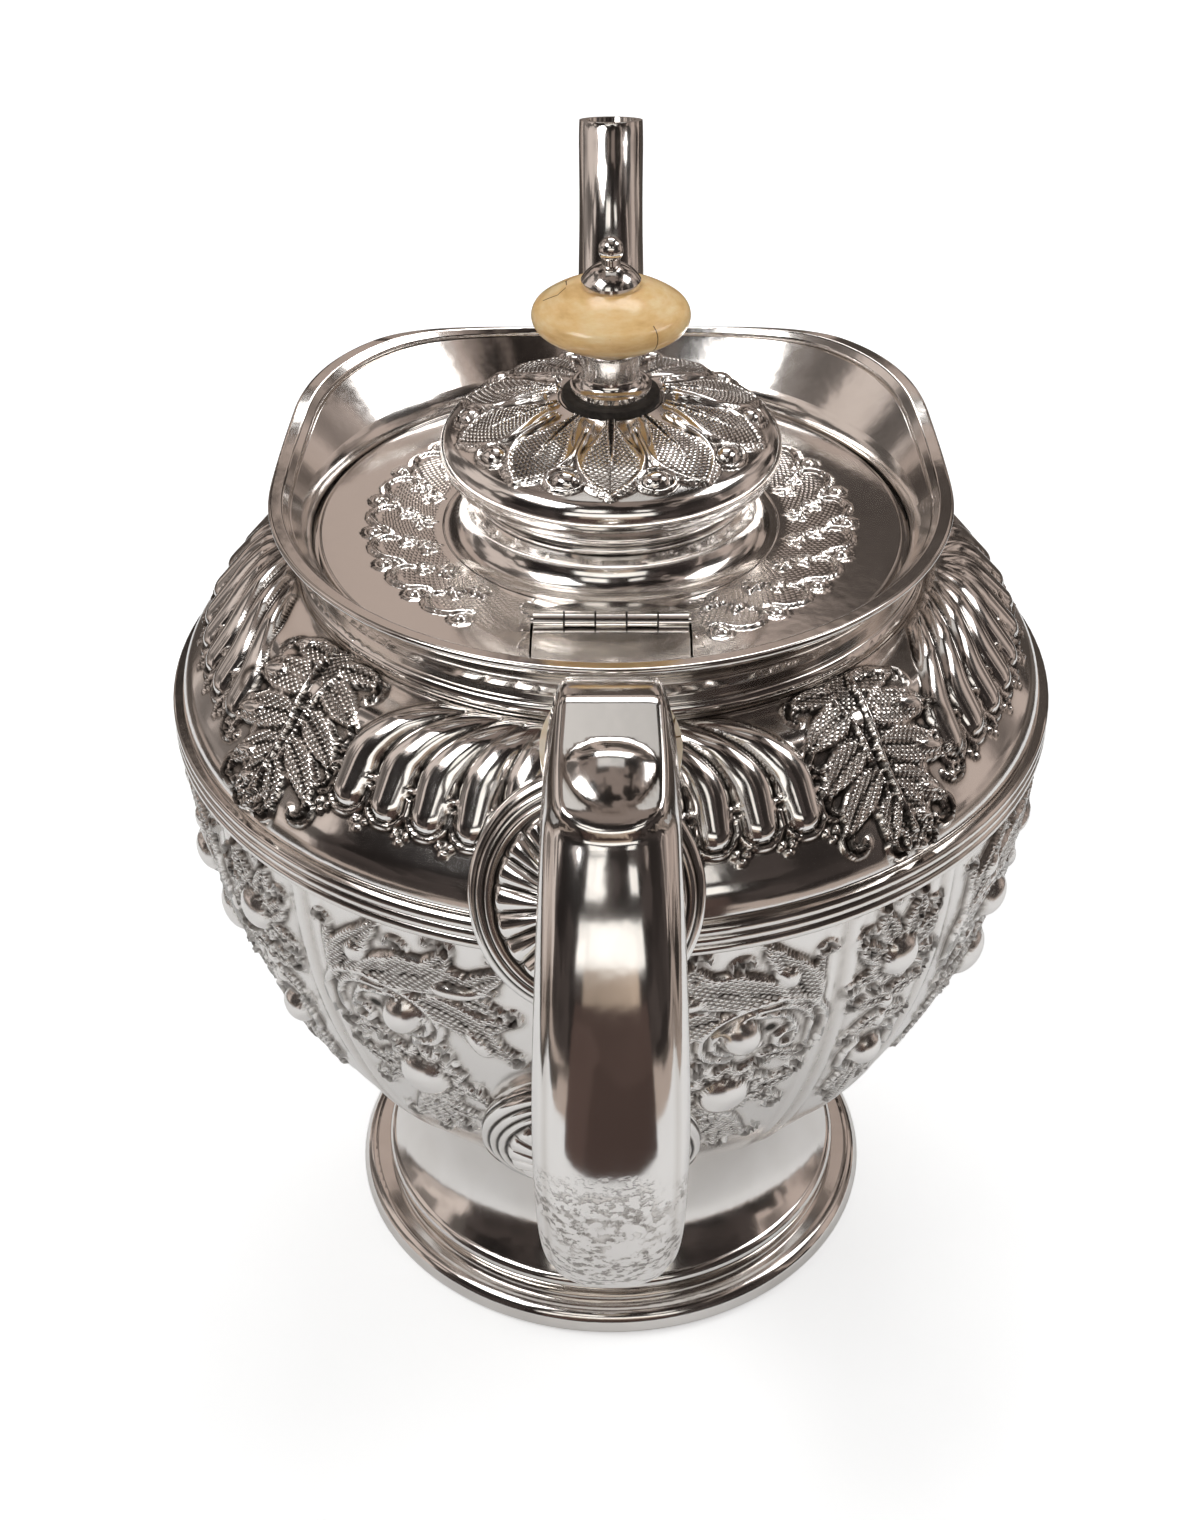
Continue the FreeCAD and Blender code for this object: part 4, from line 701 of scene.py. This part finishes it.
def spray_flower(motif):
    flower(motif, (20.5, -4), 4, 4.4, 10, 2.9)
    motif.lobe((25.5, -4.5), (31.2, -3), 1.7, 0.95, -0.15, 1)
    motif.lobe((25, -7), (30, -10.5), 1.5, 0.9, 0.12, -1)
    motif.lobe((15.5, -5.5), (11.8, -9), 1.4, 0.9, -0.1, -1)
    root = (21.6, -10.5)
    for tip, bend in (((27, -21), -0.12), ((22, -22.5), 0.05), ((17.4, -19), 0.12), ((13.6, -14), 0.14)):
        motif.lobe(root, tip, 1.7, 0.95, bend, 1)


def great_spray(motif):
    upper_acanthus(motif)
    lower_acanthus(motif)
    bud(motif)
    eye(motif)
    spray_flower(motif)
    pearl = 0.7
    for spot in ((23.6, 1.6), (18, 2), (15.6, 0.4), (29.4, 1), (15, 12), (24.4, 6)):
        motif.boss(spot, pearl, pearl, pearl)


COLUMN_LOBES = (   # root, tip, width, height, bend and rolled side of the lobes at the right
    ((0.8, 18), (3.2, 25), 1.7, 1.05, -0.1, 1),
    ((2, 15.5), (6.4, 20.5), 1.7, 1.05, -0.12, 1),
    ((2.5, 13), (6.8, 12.5), 1.4, 0.95, 0.15, -1),
    ((0, 6.5), (5.6, 7.5), 1.9, 1, 0.1, 1),
    ((0, 2.5), (5, 0.5), 1.5, 0.95, 0.1, -1),
    ((1.5, -10), (4, -15.5), 1.4, 0.9, 0.1, -1),
)


def flower_column(motif):
    """An upright column of flowers, buds and leaf fans between two creases."""
    for hand in (1, -1):
        for root, tip, width, height, bend, roll in COLUMN_LOBES:
            root, tip = (hand * root[0], root[1]), (hand * tip[0], tip[1])
            motif.lobe(root, tip, width, height, hand * bend, hand * roll)
        motif.scroll((0, -6), 4.6, 90 - hand * 35, 90 - hand * 150, 0.5, 0.95)
    flower(motif, (0, 15.2), 3.2, 3.6, 8, 2.6)
    motif.boss((0, 5.6), 1.3, 1.6, 1.4)
    motif.boss((0, 1.4), 1, 1.9, 1.2)
    motif.boss((0, -6), 2.8, 3.1, 2.4)
    motif.leaf(curve((0, -11), (0.3, -16), (0, -23)), 1.7, 0.95)


def spout_opening(relief):
    """Coarse cells that stay, leaving out those that the spout's root covers."""
    turns, out, up = relief.coarse_cells()
    across = np.sin(turns - math.pi) * out
    at_handle = np.cos(turns - math.pi) < 0
    return at_handle | (np.hypot(across, up - SPOUT_UP) > SPOUT_REACH)


def make_bowl_chasing():
    base = arc(*BASE_ARC, BOWL_LOW, BASE_END)
    lower = arc(*LOWER_ARC, BASE_END, LOWER_END)
    side_wall = arc(*SIDE_ARC, LOWER_END, BOWL_HIGH)
    rows = Rows([base, lower, side_wall], BOWL_ROWS)
    relief = Relief(rows, BOWL_TURNS)
    middle = float(np.interp(MID_UP, rows.up, rows.length))
    for panel in PANELS:
        for side in (1, -1):
            great_spray(Motif(relief, panel + CHASING_TURN, middle, side))
        flower_column(Motif(relief, panel + COLUMN_TURN + CHASING_TURN, middle))
    for degrees in CREASES:
        crease(relief, degrees)
    relief.fade(2, 1.5)
    chased("bowl_chasing", relief, "pot", SILVER_PLANISHED, spout_opening(relief), shade=0.54)


# Chased shoulder

def lobe_knot(motif):
    middle, pearl = (-0.3, 4.4), 0.52
    motif.scroll(middle, 0.95, -60, 280, 0.34, 1, 0.35)
    motif.pit(middle, 0.4, 0.4)
    for spot in ((0, -1.9), (-0.75, -0.9), (0.75, -0.9)):
        motif.boss(spot, pearl, pearl, 0.6)


def shoulder_lobe(relief, middle, lean, sweep):
    """A lobe that runs up the shoulder and sweeps aside, with a wire and knots round its end."""
    length = relief.rows.length[None, :]
    rise = np.clip((length - LOBE_LOW) / (LOBE_HIGH - LOBE_LOW), -0.3, 1)
    swept = unit((length - SWEEP_LOW) / (LOBE_HIGH - SWEEP_LOW)) ** 2
    across = relief.off(middle + lean * (rise - 0.4) + sweep * swept)
    half = LOBE_PITCH * (0.38 + 0.13 * unit(2 * rise))
    reach = np.hypot(across, np.maximum(0, LOBE_LOW + half - length))
    top = unit((LOBE_HIGH - length) / LOBE_RUN_OUT) ** 0.6
    swell = np.sqrt(np.maximum(0, 1 - (reach / half) ** 2)) * top
    relief.height = np.maximum(relief.height, LOBE_PROUD * swell)
    wire = bell(reach - WIRE_REACH, WIRE_HALF) * (length < LOBE_LOW + WIRE_RISE)
    relief.height = np.maximum(relief.height, WIRE_PROUD * wire)
    for side in (1, -1):
        lobe_knot(Motif(relief, middle - 0.3 * lean + side * LOBE_PITCH / 2, LOBE_LOW, side))


# root, tip and width of the acanthus leaf's lobes
OUTER_LOBES = (
    ((1, 24.5), (10.2, 23.4), 2.2), ((0.6, 20.5), (12, 17), 3), ((0.2, 16), (11.6, 10), 2.9),
    ((0, 12), (6.6, 5), 2.2), ((0, 9), (2.6, 2.6), 1.6),
)
INNER_LOBES = (
    ((-1.8, 24.4), (-10.6, 25.2), 1.9), ((-2.2, 21.6), (-11.2, 18.6), 2.5), ((-2.2, 17), (-10.8, 12.4), 2.5),
    ((-1.8, 13), (-9.6, 6.6), 2.4), ((-1, 9.4), (-3.8, 3.2), 1.8),
)


def acanthus(motif):
    """A hatched leaf with smooth rolled lobes on one side and leaflets on the other."""
    motif.leaf(curve((0.5, 27), (0, 15), (0.5, 2)), 8.5, 0.6, vein=0)
    for root, tip, width in OUTER_LOBES:
        motif.lobe(root, tip, width, 1, 0.14, -1)
        middle = (0.3 * root[0] + 0.7 * tip[0], 0.3 * root[1] + 0.7 * tip[1] + 0.9)
        motif.pad(middle, 1.1 * width, 0.5 * width, 1.2, -25)
    for root, tip, width in INNER_LOBES:
        motif.lobe(root, tip, width, 1.05, -0.14, 1)
    motif.boss((0.8, 1.4), 0.9, 0.65, 0.7)
    motif.stroke(smooth_line([(2.6, 26.6), (0.4, 19.5), (-0.5, 13), (0, 4)]), 0.55, 1.5, 0.3)
    motif.stroke(smooth_line([(-3.6, 26), (-2.4, 20), (-2.2, 15), (-1.6, 10)]), 0.4, 1.3, 0.3)
    pearls, pearl, pitch = 7, 0.38, 1.6
    for number in range(pearls):
        motif.boss((-1.2, 8 + pitch * number), pearl, pearl, 1.15)


def make_shoulder_chasing():
    heading = math.radians(SLOPE_HEADING)
    turn = arc(*TURN_ARC, SHOULDER_LOW, SLOPE_HEADING)
    slope = straight(*SLOPE, (math.cos(heading), math.sin(heading)))
    crown = arc(*CROWN_ARC, SLOPE_HEADING, SHOULDER_HIGH)
    rows = Rows([turn, slope, crown], SHOULDER_ROWS)
    relief = Relief(rows, SHOULDER_TURNS)
    relief.height += SWELL_PROUD * bell(rows.length - SWELL_ALONG, SWELL_HALF)
    for panel in PANELS:
        at_side = panel in SIDE_PANELS
        for number in range(-LOBES_PER_SIDE, LOBES_PER_SIDE + 1):
            inwards = -np.sign(number)
            lean = SIDE_LEAN * inwards if at_side else 0
            sweep = SWEEP * inwards * min(1, abs(number) / 3)
            shoulder_lobe(relief, panel + LOBE_PITCH * number + CHASING_TURN, lean, sweep)
        side = -1 if at_side else 1
        acanthus(Motif(relief, panel + ACANTHUS_TURN + side * ACANTHUS_OFF + CHASING_TURN, 0, side))
    relief.fade(1, 1.2)
    chased("shoulder_chasing", relief, "pot", SILVER_CHASED, shade=0.9)


# Chased lid

def fan(motif, middle, radius, start):
    for petal in range(5):
        angle = math.radians(start + 45 * petal)
        tip = (middle[0] + radius * math.cos(angle), middle[1] + radius * math.sin(angle))
        motif.stroke([middle, tip], 0.4, 0.42, 0.1)
    motif.boss(middle, 0.62, 0.6, 0.6)


def chain_link(motif):
    motif.boss((0, 0), 0.95, 0.95, 0.7)
    motif.scroll((0, 0), 1.5, 0, 360, 0.26, 0.2)
    wire = [(-0.4, 2.6), (0.9, 1.8), (2.2, 0), (4.4, -0.8), (6.6, 0.1), (7.4, 1.9), (6.6, 3.6)]
    motif.stroke(smooth_line(wire), 0.42, 0.5)
    fan(motif, (2.8, 6.4), 1.9, 0)
    fan(motif, (5.6, 4.2), 1.4, 20)


def make_lid_chasing():
    rows = Rows([straight((LID_EDGE, LID_UP), (LID_COVE, LID_UP), (0, 1))], LID_ROWS)
    relief = Relief(rows, LID_TURNS, LID_REACH)
    for number in range(LINKS):
        degrees = 360 / LINKS * number
        turn = degrees + CHASING_TURN
        if abs((turn + 180) % 360 - 180) >= HINGE_BARE:
            chain_link(Motif(relief, turn, rows.at_out(LINK_OUT), 1 if degrees < 180 else -1))
    matte = (rows.length > rows.at_out(MATTE_OUT[0])) & (rows.length < rows.at_out(MATTE_OUT[1]))
    open_turns = np.abs(relief.off(0)) > math.radians(HINGE_BARE) * relief.reach
    relief.hatch = np.maximum(relief.hatch, MATTE_HATCH * matte[None, :] * open_turns)
    turns, out, _ = relief.coarse_cells()
    at_hinge = (np.abs(np.sin(turns)) * out < HINGE_ROOM[0]) & (np.cos(turns) * out > HINGE_ROOM[1])
    chased("lid_cover_chasing", relief, "lid", SILVER_CHASED, ~at_hinge, shade=0.5)


def dome_leaf(motif):
    """A hatched leaf with a raised outline and a fold of painted shade at its root."""
    motif.leaf([(0, -7.4), (0, -3), (0, 0), (0, 3), (0, 7.4)], 4.5, 0.42, vein=0)
    motif.pit((0, 4.2), 0.6, 5)
    for hand in (1, -1):
        edge = [(0, -7.4), (hand * 2.2, -5), (hand * 4.1, -1.6), (hand * 4.4, 1.8), (hand * 4, 6)]
        motif.stroke(smooth_line(edge), 0.28, 0.6, 0.1)
        motif.stroke([(hand * 0.85, 7.4), (hand * 0.4, 2), (0, -2.5)], 0.24, 0.6, 0.2)


def dome_boss(motif):
    motif.scroll((0, 0), 2, 0, 360, 0.3, 0.55)
    motif.boss((0, 0), 1.45, 1.6, 1.15)
    motif.boss((0, 10.2), 0.6, 0.5, 0.6)


def make_dome_chasing():
    roll = DOME_ROLL[0][0]
    bend = math.degrees(math.acos(roll / (DOME_CROWN[1] - DOME_ROLL[1])))
    neck = straight((NECK, NECK_LOW), (NECK, DOME_UP), (1, 0))
    under = straight((NECK + 0.1, DOME_UP), (roll, DOME_UP), (0, -1))
    rows = Rows([neck, under, arc(*DOME_ROLL, -90, bend), arc(*DOME_CROWN, bend, DOME_END)], DOME_ROWS)
    relief = Relief(rows, DOME_TURNS, DOME_REACH)
    for number in range(DOME_LEAVES):
        degrees = 360 / DOME_LEAVES * number
        dome_leaf(Motif(relief, degrees, rows.at_out(DOME_LEAF_OUT)))
        dome_boss(Motif(relief, degrees + 180 / DOME_LEAVES, rows.at_out(DOME_BOSS_OUT)))
    for place, width, height in NECK_RINGS:
        ring = height * np.sqrt(np.maximum(0, 1 - ((rows.length - place) / width) ** 2))
        relief.height = np.maximum(relief.height, ring[None, :])
    chased("lid_dome_chasing", relief, "lid", SILVER_CHASED, shade=0.8, finer=1.25)


def make_hinge_joints():
    """Dark joints between the hinge's knuckles, as thin rings round its pin."""
    count, half, inner, outer = 40, 0.13, 1.15, 1.43
    along = np.array([half, half, -half, -half])
    reach = np.array([inner, outer, outer, inner])
    turn = (np.arange(count) * FULL_TURN / count)[:, None]
    places, faces = [], []
    for number in range(1, KNUCKLES):
        faces += tube_faces(len(places), count, len(reach), True)
        across = HINGE_WIDTH * (number / KNUCKLES - 0.5) + along + 0 * turn
        ring = np.stack([across, reach * np.cos(turn) - HINGE[0], reach * np.sin(turn) + HINGE[1]], -1)
        places += ring.reshape(-1, 3).tolist()
    make_object("hinge_joints", places, faces, "pot", SILVER_CHASED, unhatched(np.ones(len(places))), 0)


# Fluted ovals of the sockets

def make_oval_chasing(name, out, up, tilt, wide, tall, proud):
    """An oval boss with a triple moulded edge and radiating flutes."""
    angle = (np.arange(OVAL_TURNS) * FULL_TURN / OVAL_TURNS)[:, None]
    reach = np.linspace(0.995, 0.22, OVAL_RINGS)[None, :]
    tilt, turn = math.radians(tilt), math.radians(OVAL_TURN)
    outward = np.array([math.sin(turn), -math.cos(turn), 0])
    sideways = np.array([math.cos(turn), math.sin(turn), 0])
    normal = math.cos(tilt) * outward + np.array([0, 0, math.sin(tilt)])
    upward = -math.sin(tilt) * outward + np.array([0, 0, math.cos(tilt)])
    middle = out * outward + np.array([0, 0, up])
    edge = sum(OVAL_WIRE_PROUD * bell(reach - place, OVAL_WIRE_HALF) for place in OVAL_WIRES)
    flutes = np.abs(np.cos(angle * OVAL_FLUTES / 2)) ** 0.7
    height = edge + flutes * unit((FLUTE_END - reach) / 0.05)

    def place(step, lift):
        turns, reaches = angle[::step, :, None], reach[:, ::step, None]
        across, along = reaches * np.cos(turns) * sideways, reaches * np.sin(turns) * upward
        grow = np.sqrt(1 - reaches ** 2) * normal
        face = across * 2 / wide + along * 2 / tall + grow / proud
        face = face / np.linalg.norm(face, axis=2, keepdims=True)
        return middle + across * wide / 2 + along * tall / 2 + grow * proud + face * lift

    outer = place(1, SKIN_BASE + height[..., None])
    shell(name, outer, place(COARSE, -2 * SKIN_SINK), "pot", SILVER_CHASED, unhatched(recess_of(height)))


# Handle

HANDLE_LEGS = (   # centre, radius, first and last heading of each bend along the middle line
    ((84.61, 129.95), 12.4, 50, -40),
    ((66.23, 108.04), 41, -40, -132),
    ((83.32, 92.65), 18, -132, -160),
)
HEEL_RUN = 9.5
HANDLE_STEP, HANDLE_SIDES = 0.5, 96
SQUARENESS = 2.4                             # 2 makes the handle's section an oval, more makes it squarer
FERRULE, GRIP = (14, 12.5), (17.8, 13)   # width and thickness at the ends and at the grip
GROOVE_OUT, GROOVE_HALF, GROOVE_DEEP = 0.83, 0.045, 0.22
THUMB_START, THUMB_END, THUMB_HALF, THUMB_ROUND = 2.5, 21.8, 6.4, 3.6
THUMB_HEADING, THUMB_SINK, THUMB_EDGE = -21, 0.6, 18
BOSS_ALONG, BOSS_WIDE, BOSS_BEHIND, BOSS_AHEAD, BOSS_PROUD = 15.4, 5, 2, 3.8, 1.2
WEAR_START, WEAR_RUN = 0.54, 8             # share of the handle's length, and millimetres


def bend_place(leg, heading):
    centre, radius = leg[:2]
    turn = np.radians(heading)
    return np.stack([centre[0] - radius * np.sin(turn), centre[1] + radius * np.cos(turn)], -1)


def handle_path(step):
    points, headings = [], []
    for leg in HANDLE_LEGS:
        count = max(2, int(math.radians(leg[2] - leg[3]) * leg[1] / step))
        turn = np.linspace(leg[2], leg[3], count, endpoint=False)
        points.append(bend_place(leg, turn))
        headings.append(turn)
    last = HANDLE_LEGS[-1][3]
    share = np.linspace(0, 1, int(HEEL_RUN / step))[:, None]
    run = np.array([math.cos(math.radians(last)), math.sin(math.radians(last))])
    points.append(bend_place(HANDLE_LEGS[-1], last) + share * HEEL_RUN * run)
    headings.append(np.full(len(share), float(last)))
    return np.concatenate(points), np.concatenate(headings)


def handle_sizes(along, total):
    share = np.interp(along, [0, 22, 50, total - 38, total - 14, total], [0, 0.45, 1, 1, 0.6, 0])
    share = np.convolve(np.pad(share, 20, mode="edge"), np.ones(41) / 41, "valid")
    return (end + (grip - end) * share[:, None] for end, grip in zip(FERRULE, GRIP))


def thumb_rest(along, across, thick, headings):
    """The flat rest: distance from its middle, 1 at its edge, its share of each place, and its height."""
    beyond = np.maximum(0, along - (THUMB_END - THUMB_ROUND))
    away = np.hypot(across / THUMB_HALF, beyond / THUMB_ROUND)
    share = unit(along / THUMB_START) / (1 + np.exp((away - 1) * THUMB_EDGE))
    bend = HANDLE_LEGS[0][1]
    slant = np.radians(np.clip(headings - THUMB_HEADING, -40, 26))
    return away, share, (bend + thick / 2 - THUMB_SINK) / np.cos(slant) - bend


def make_handle():
    """The loop with a groove along each edge and a flat thumb rest with a boss."""
    points, headings = handle_path(HANDLE_STEP)
    along = np.concatenate([[0], np.cumsum(np.hypot(*np.diff(points, axis=0).T))])
    total = along[-1]
    wide, thick = handle_sizes(along, total)
    along = along[:, None]
    angle = np.arange(HANDLE_SIDES) * FULL_TURN / HANDLE_SIDES
    x, y = (np.sign(wave) * np.abs(wave) ** (2 / SQUARENESS) for wave in (np.cos(angle), np.sin(angle)))
    across, outside = wide / 2 * x, y > 0
    from_rest, rest, level = thumb_rest(along, across, thick, headings[:, None])
    rest = rest * outside
    past = along - BOSS_ALONG
    from_boss = np.hypot(across / BOSS_WIDE, past / np.where(past < 0, BOSS_BEHIND, BOSS_AHEAD))
    boss = outside * np.maximum(0, 1 - from_boss ** 2)
    groove = outside * bell(np.abs(x) - GROOVE_OUT, GROOVE_HALF) * (1 - rest)
    height = thick / 2 * y * (1 - rest) + level * rest + BOSS_PROUD * boss - GROOVE_DEEP * groove
    ends = np.minimum(along, total - along)
    taper = 1 - 0.06 * bell(ends, 0.8)
    turn = np.radians(headings)
    face = np.stack([0 * turn, np.sin(turn), np.cos(turn)], 1)[:, None, :]
    middle = np.stack([0 * turn, -points[:, 0], points[:, 1]], 1)[:, None, :]
    sideways = np.array([1, 0, 0])
    places = middle + (across * taper)[..., None] * sideways + (height * taper)[..., None] * face
    edge, rim = (outside * bell(away - 1.04, 0.07) for away in (from_rest, from_boss))
    wear = unit((along - WEAR_START * total) / WEAR_RUN) * unit(2 * y)
    recess = unit(0.45 * edge + 0.5 * rim + 0.25 * groove)
    values = {"recess": recess.ravel(), "wear": wear.ravel()}
    faces = tube_faces(0, len(points), HANDLE_SIDES, False)
    first_end = len(faces)
    places = places.reshape(-1, 3)
    corners = list(range(len(places)))
    faces += [corners[HANDLE_SIDES - 1::-1], corners[-HANDLE_SIDES:]]
    piece = make_object("handle_loop", places, faces, "pot", SILVER_WORN, values, first_end)
    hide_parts("handle")


# Stage, in metres

WORLD_GLOW = 0.35
FLOOR_GLOW, FLOOR_WHITE, FLOOR_HALF = 0.08, 0.5, 6
CEILING = (0.06, 0.048, 0.042)
FRONT = (0.03, 0.024, 0.022)
BACK = (0.12, 0.098, 0.086)
LEFT = (0.26, 0.225, 0.205)
RIGHT = (0.13, 0.107, 0.095)
GROUND = (0.17, 0.14, 0.122)
CREAM = (0.46, 0.36, 0.28)
PALE = (0.60, 0.58, 0.56)
SHADE = (0.075, 0.05, 0.043)
WINDOW = (1.2, 1.16, 1.1)


def make_plane(name, corners, material, faces=None):
    mesh = bpy.data.meshes.new(name)
    mesh.from_pydata(corners, [], faces or [tuple(range(len(corners)))])
    mesh.materials.append(material)
    plane = add_object(name, mesh)
    return plane


def level_corners(half, front, back, up):
    return [(-half, front, up), (-half, back, up), (half, back, up), (half, front, up)]


def make_floor():
    """A pale floor that is white to the camera and keeps the shadow."""
    nodes = Nodes("floor")
    nodes.set({"Roughness": 0.9, "Specular IOR Level": 0, "Emission Color": (1, 1, 1, 1)})
    paper = nodes.ramp(nodes.noise(12, 3), [(0.3, (0.80, 0.80, 0.80)), (0.7, (0.83, 0.83, 0.83))])
    seen = nodes.add("ShaderNodeLightPath").outputs["Is Camera Ray"]
    glow = nodes.spread(seen, FLOOR_GLOW, FLOOR_WHITE)
    nodes.set({"Base Color": paper, "Emission Strength": glow})
    corners = level_corners(FLOOR_HALF, -FLOOR_HALF, FLOOR_HALF, 0)
    make_plane("floor", corners[::-1], nodes.block)


def make_card(name, corners, colour, contrast, faces=None):
    """A studio card that only mirrors see, with uneven brightness."""
    nodes = Nodes(name)
    place = nodes.where()
    blocks = nodes.add("ShaderNodeTexVoronoi", distance="CHEBYCHEV", Vector=place, Scale=4.2)
    patches = nodes.maths("ADD", nodes.spread(nodes.noise(2.6, 3), -0.5, 0.5), blocks.outputs["Color"])
    dark = tuple(part / contrast for part in colour)
    bright = tuple(part * contrast for part in colour)
    glow = nodes.ramp(patches, [(0.3, dark), (0.5, colour), (0.72, bright)])
    nodes.set({"Base Color": (0, 0, 0, 1), "Roughness": 1, "Specular IOR Level": 0})
    nodes.set({"Emission Color": glow, "Emission Strength": 1})
    card = make_plane(name, corners, nodes.block, faces)
    card.visible_camera = False
    card.visible_diffuse = False
    card.visible_shadow = False
    card.visible_transmission = False


def make_ground_card(inner, outer, colour, contrast):
    """A ring just over the floor, round the pale ground near the pot."""
    count, up = 48, 0.001
    turns = [FULL_TURN * number / count for number in range(count)]
    reaches = (inner, outer)
    corners = [(reach * math.sin(turn), reach * math.cos(turn), up) for turn in turns for reach in reaches]
    make_card("ground_card", corners, colour, contrast, grid_faces(0, count, 2, True))


def make_lamp(name, place, wide, tall, power):
    lamp = bpy.data.lights.new(name, "AREA")
    lamp.shape = "RECTANGLE"
    lamp.size, lamp.size_y, lamp.energy = wide, tall, power
    item = add_object(name, lamp)
    item.location = place
    towards = mathutils.Vector((0, 0, 0.1)) - mathutils.Vector(place)
    item.rotation_euler = towards.to_track_quat("-Z", "Y").to_euler()


def make_world():
    """White where it is seen or mirrored, and a soft light elsewhere."""
    nodes = Nodes("studio", bpy.data.worlds)
    bpy.context.scene.world = nodes.block
    nodes.tree.nodes.clear()
    ray = nodes.add("ShaderNodeLightPath").outputs
    seen = nodes.maths("MAXIMUM", ray["Is Camera Ray"], ray["Is Glossy Ray"])
    seen = nodes.maths("MAXIMUM", seen, ray["Is Transmission Ray"])
    mix = nodes.add("ShaderNodeMixShader", Fac=seen)
    for number, strength in ((1, WORLD_GLOW), (2, 1)):
        glow = nodes.add("ShaderNodeBackground", Color=(1, 1, 1, 1), Strength=strength)
        nodes.feed(mix.inputs[number], glow.outputs[0])
    nodes.add("ShaderNodeOutputWorld", Surface=mix.outputs[0])


FAR, HIGH, PANE = 0.8, 1.4, -0.78
WALLS = (   # name, first and last place, low and high edge, colour and contrast
    ("front_card", (-FAR, -FAR), (FAR, -FAR), 0, HIGH, FRONT, 2),
    ("back_card", (FAR, FAR), (-FAR, FAR), 0, HIGH, BACK, 4),
    ("left_card", (-FAR, FAR), (-FAR, -FAR), 0, HIGH, LEFT, 2.6),
    ("right_card", (FAR, -FAR), (FAR, FAR), 0, HIGH, RIGHT, 4),
    ("low_window", (-0.5, PANE), (0.42, PANE), 0.36, 0.58, WINDOW, 1.1),
    ("high_window", (-0.36, PANE), (-0.05, PANE), 0.7, 1.02, WINDOW, 1.1),
    ("side_window", (0.24, PANE), (0.42, PANE), 0.74, 0.94, WINDOW, 1.1),
    ("cream_card", (-0.2, -0.58), (0.2, -0.58), 0.04, 0.3, CREAM, 1.5),
    ("left_screen", (-0.62, -0.2), (-0.34, -0.62), 0, 0.6, FRONT, 2),
    ("right_screen", (0.34, -0.62), (0.62, -0.2), 0, 0.6, FRONT, 2),
)


def make_studio():
    make_world()
    make_floor()
    for name, first, last, low, high, colour, contrast in WALLS:
        corners = [(*first, low), (*last, low), (*last, high), (*first, high)]
        make_card(name, corners, colour, contrast)
    make_ground_card(0.3, 1.1, GROUND, 2.5)
    make_card("ceiling_card", level_corners(FAR, -FAR, FAR, HIGH), CEILING, 4)
    make_card("pale_card", level_corners(0.3, 0.02, 0.34, HIGH - 0.01), PALE, 1.1)
    shade = [(-0.24, -0.5, 0.19), (0.24, -0.5, 0.19), (0.09, -0.2, 0.01), (-0.09, -0.2, 0.01)]
    make_card("shade_card", shade, SHADE, 1.2)
    make_lamp("key_lamp", (-0.55, -0.35, 0.95), 0.5, 0.35, 3.4)
    make_lamp("fill_lamp", (0.75, 0.10, 0.80), 0.4, 0.5, 2.2)
    make_lamp("top_lamp", (0.05, 0.52, 1.05), 0.6, 0.3, 2.8)


def make_camera():
    """The photo's angle: a little over the handle, looking down on the lid."""
    picture_tall, picture_off = 1520, -11   # pixels
    camera = bpy.data.cameras.new("camera")
    camera.sensor_fit = "VERTICAL"
    camera.sensor_height = 36
    camera.lens = 56.25
    camera.shift_x = picture_off / picture_tall
    item = add_object("camera", camera)
    item.location = (0, -0.3007, 0.2947)
    item.rotation_euler = (math.radians(54.9), 0, 0)
    bpy.context.scene.camera = item


dress_cad_nodes()
make_bowl_chasing()
make_shoulder_chasing()
make_lid_chasing()
make_dome_chasing()
make_hinge_joints()
make_oval_chasing("upper_boss_chasing", out=60, up=105, tilt=23, wide=30.5, tall=33, proud=7.5)
make_oval_chasing("lower_boss_chasing", out=54.83, up=57.5, tilt=-23.58, wide=31, tall=33.5, proud=5)
make_handle()
make_studio()
make_camera()
bpy.context.scene.view_settings.view_transform = "Standard"
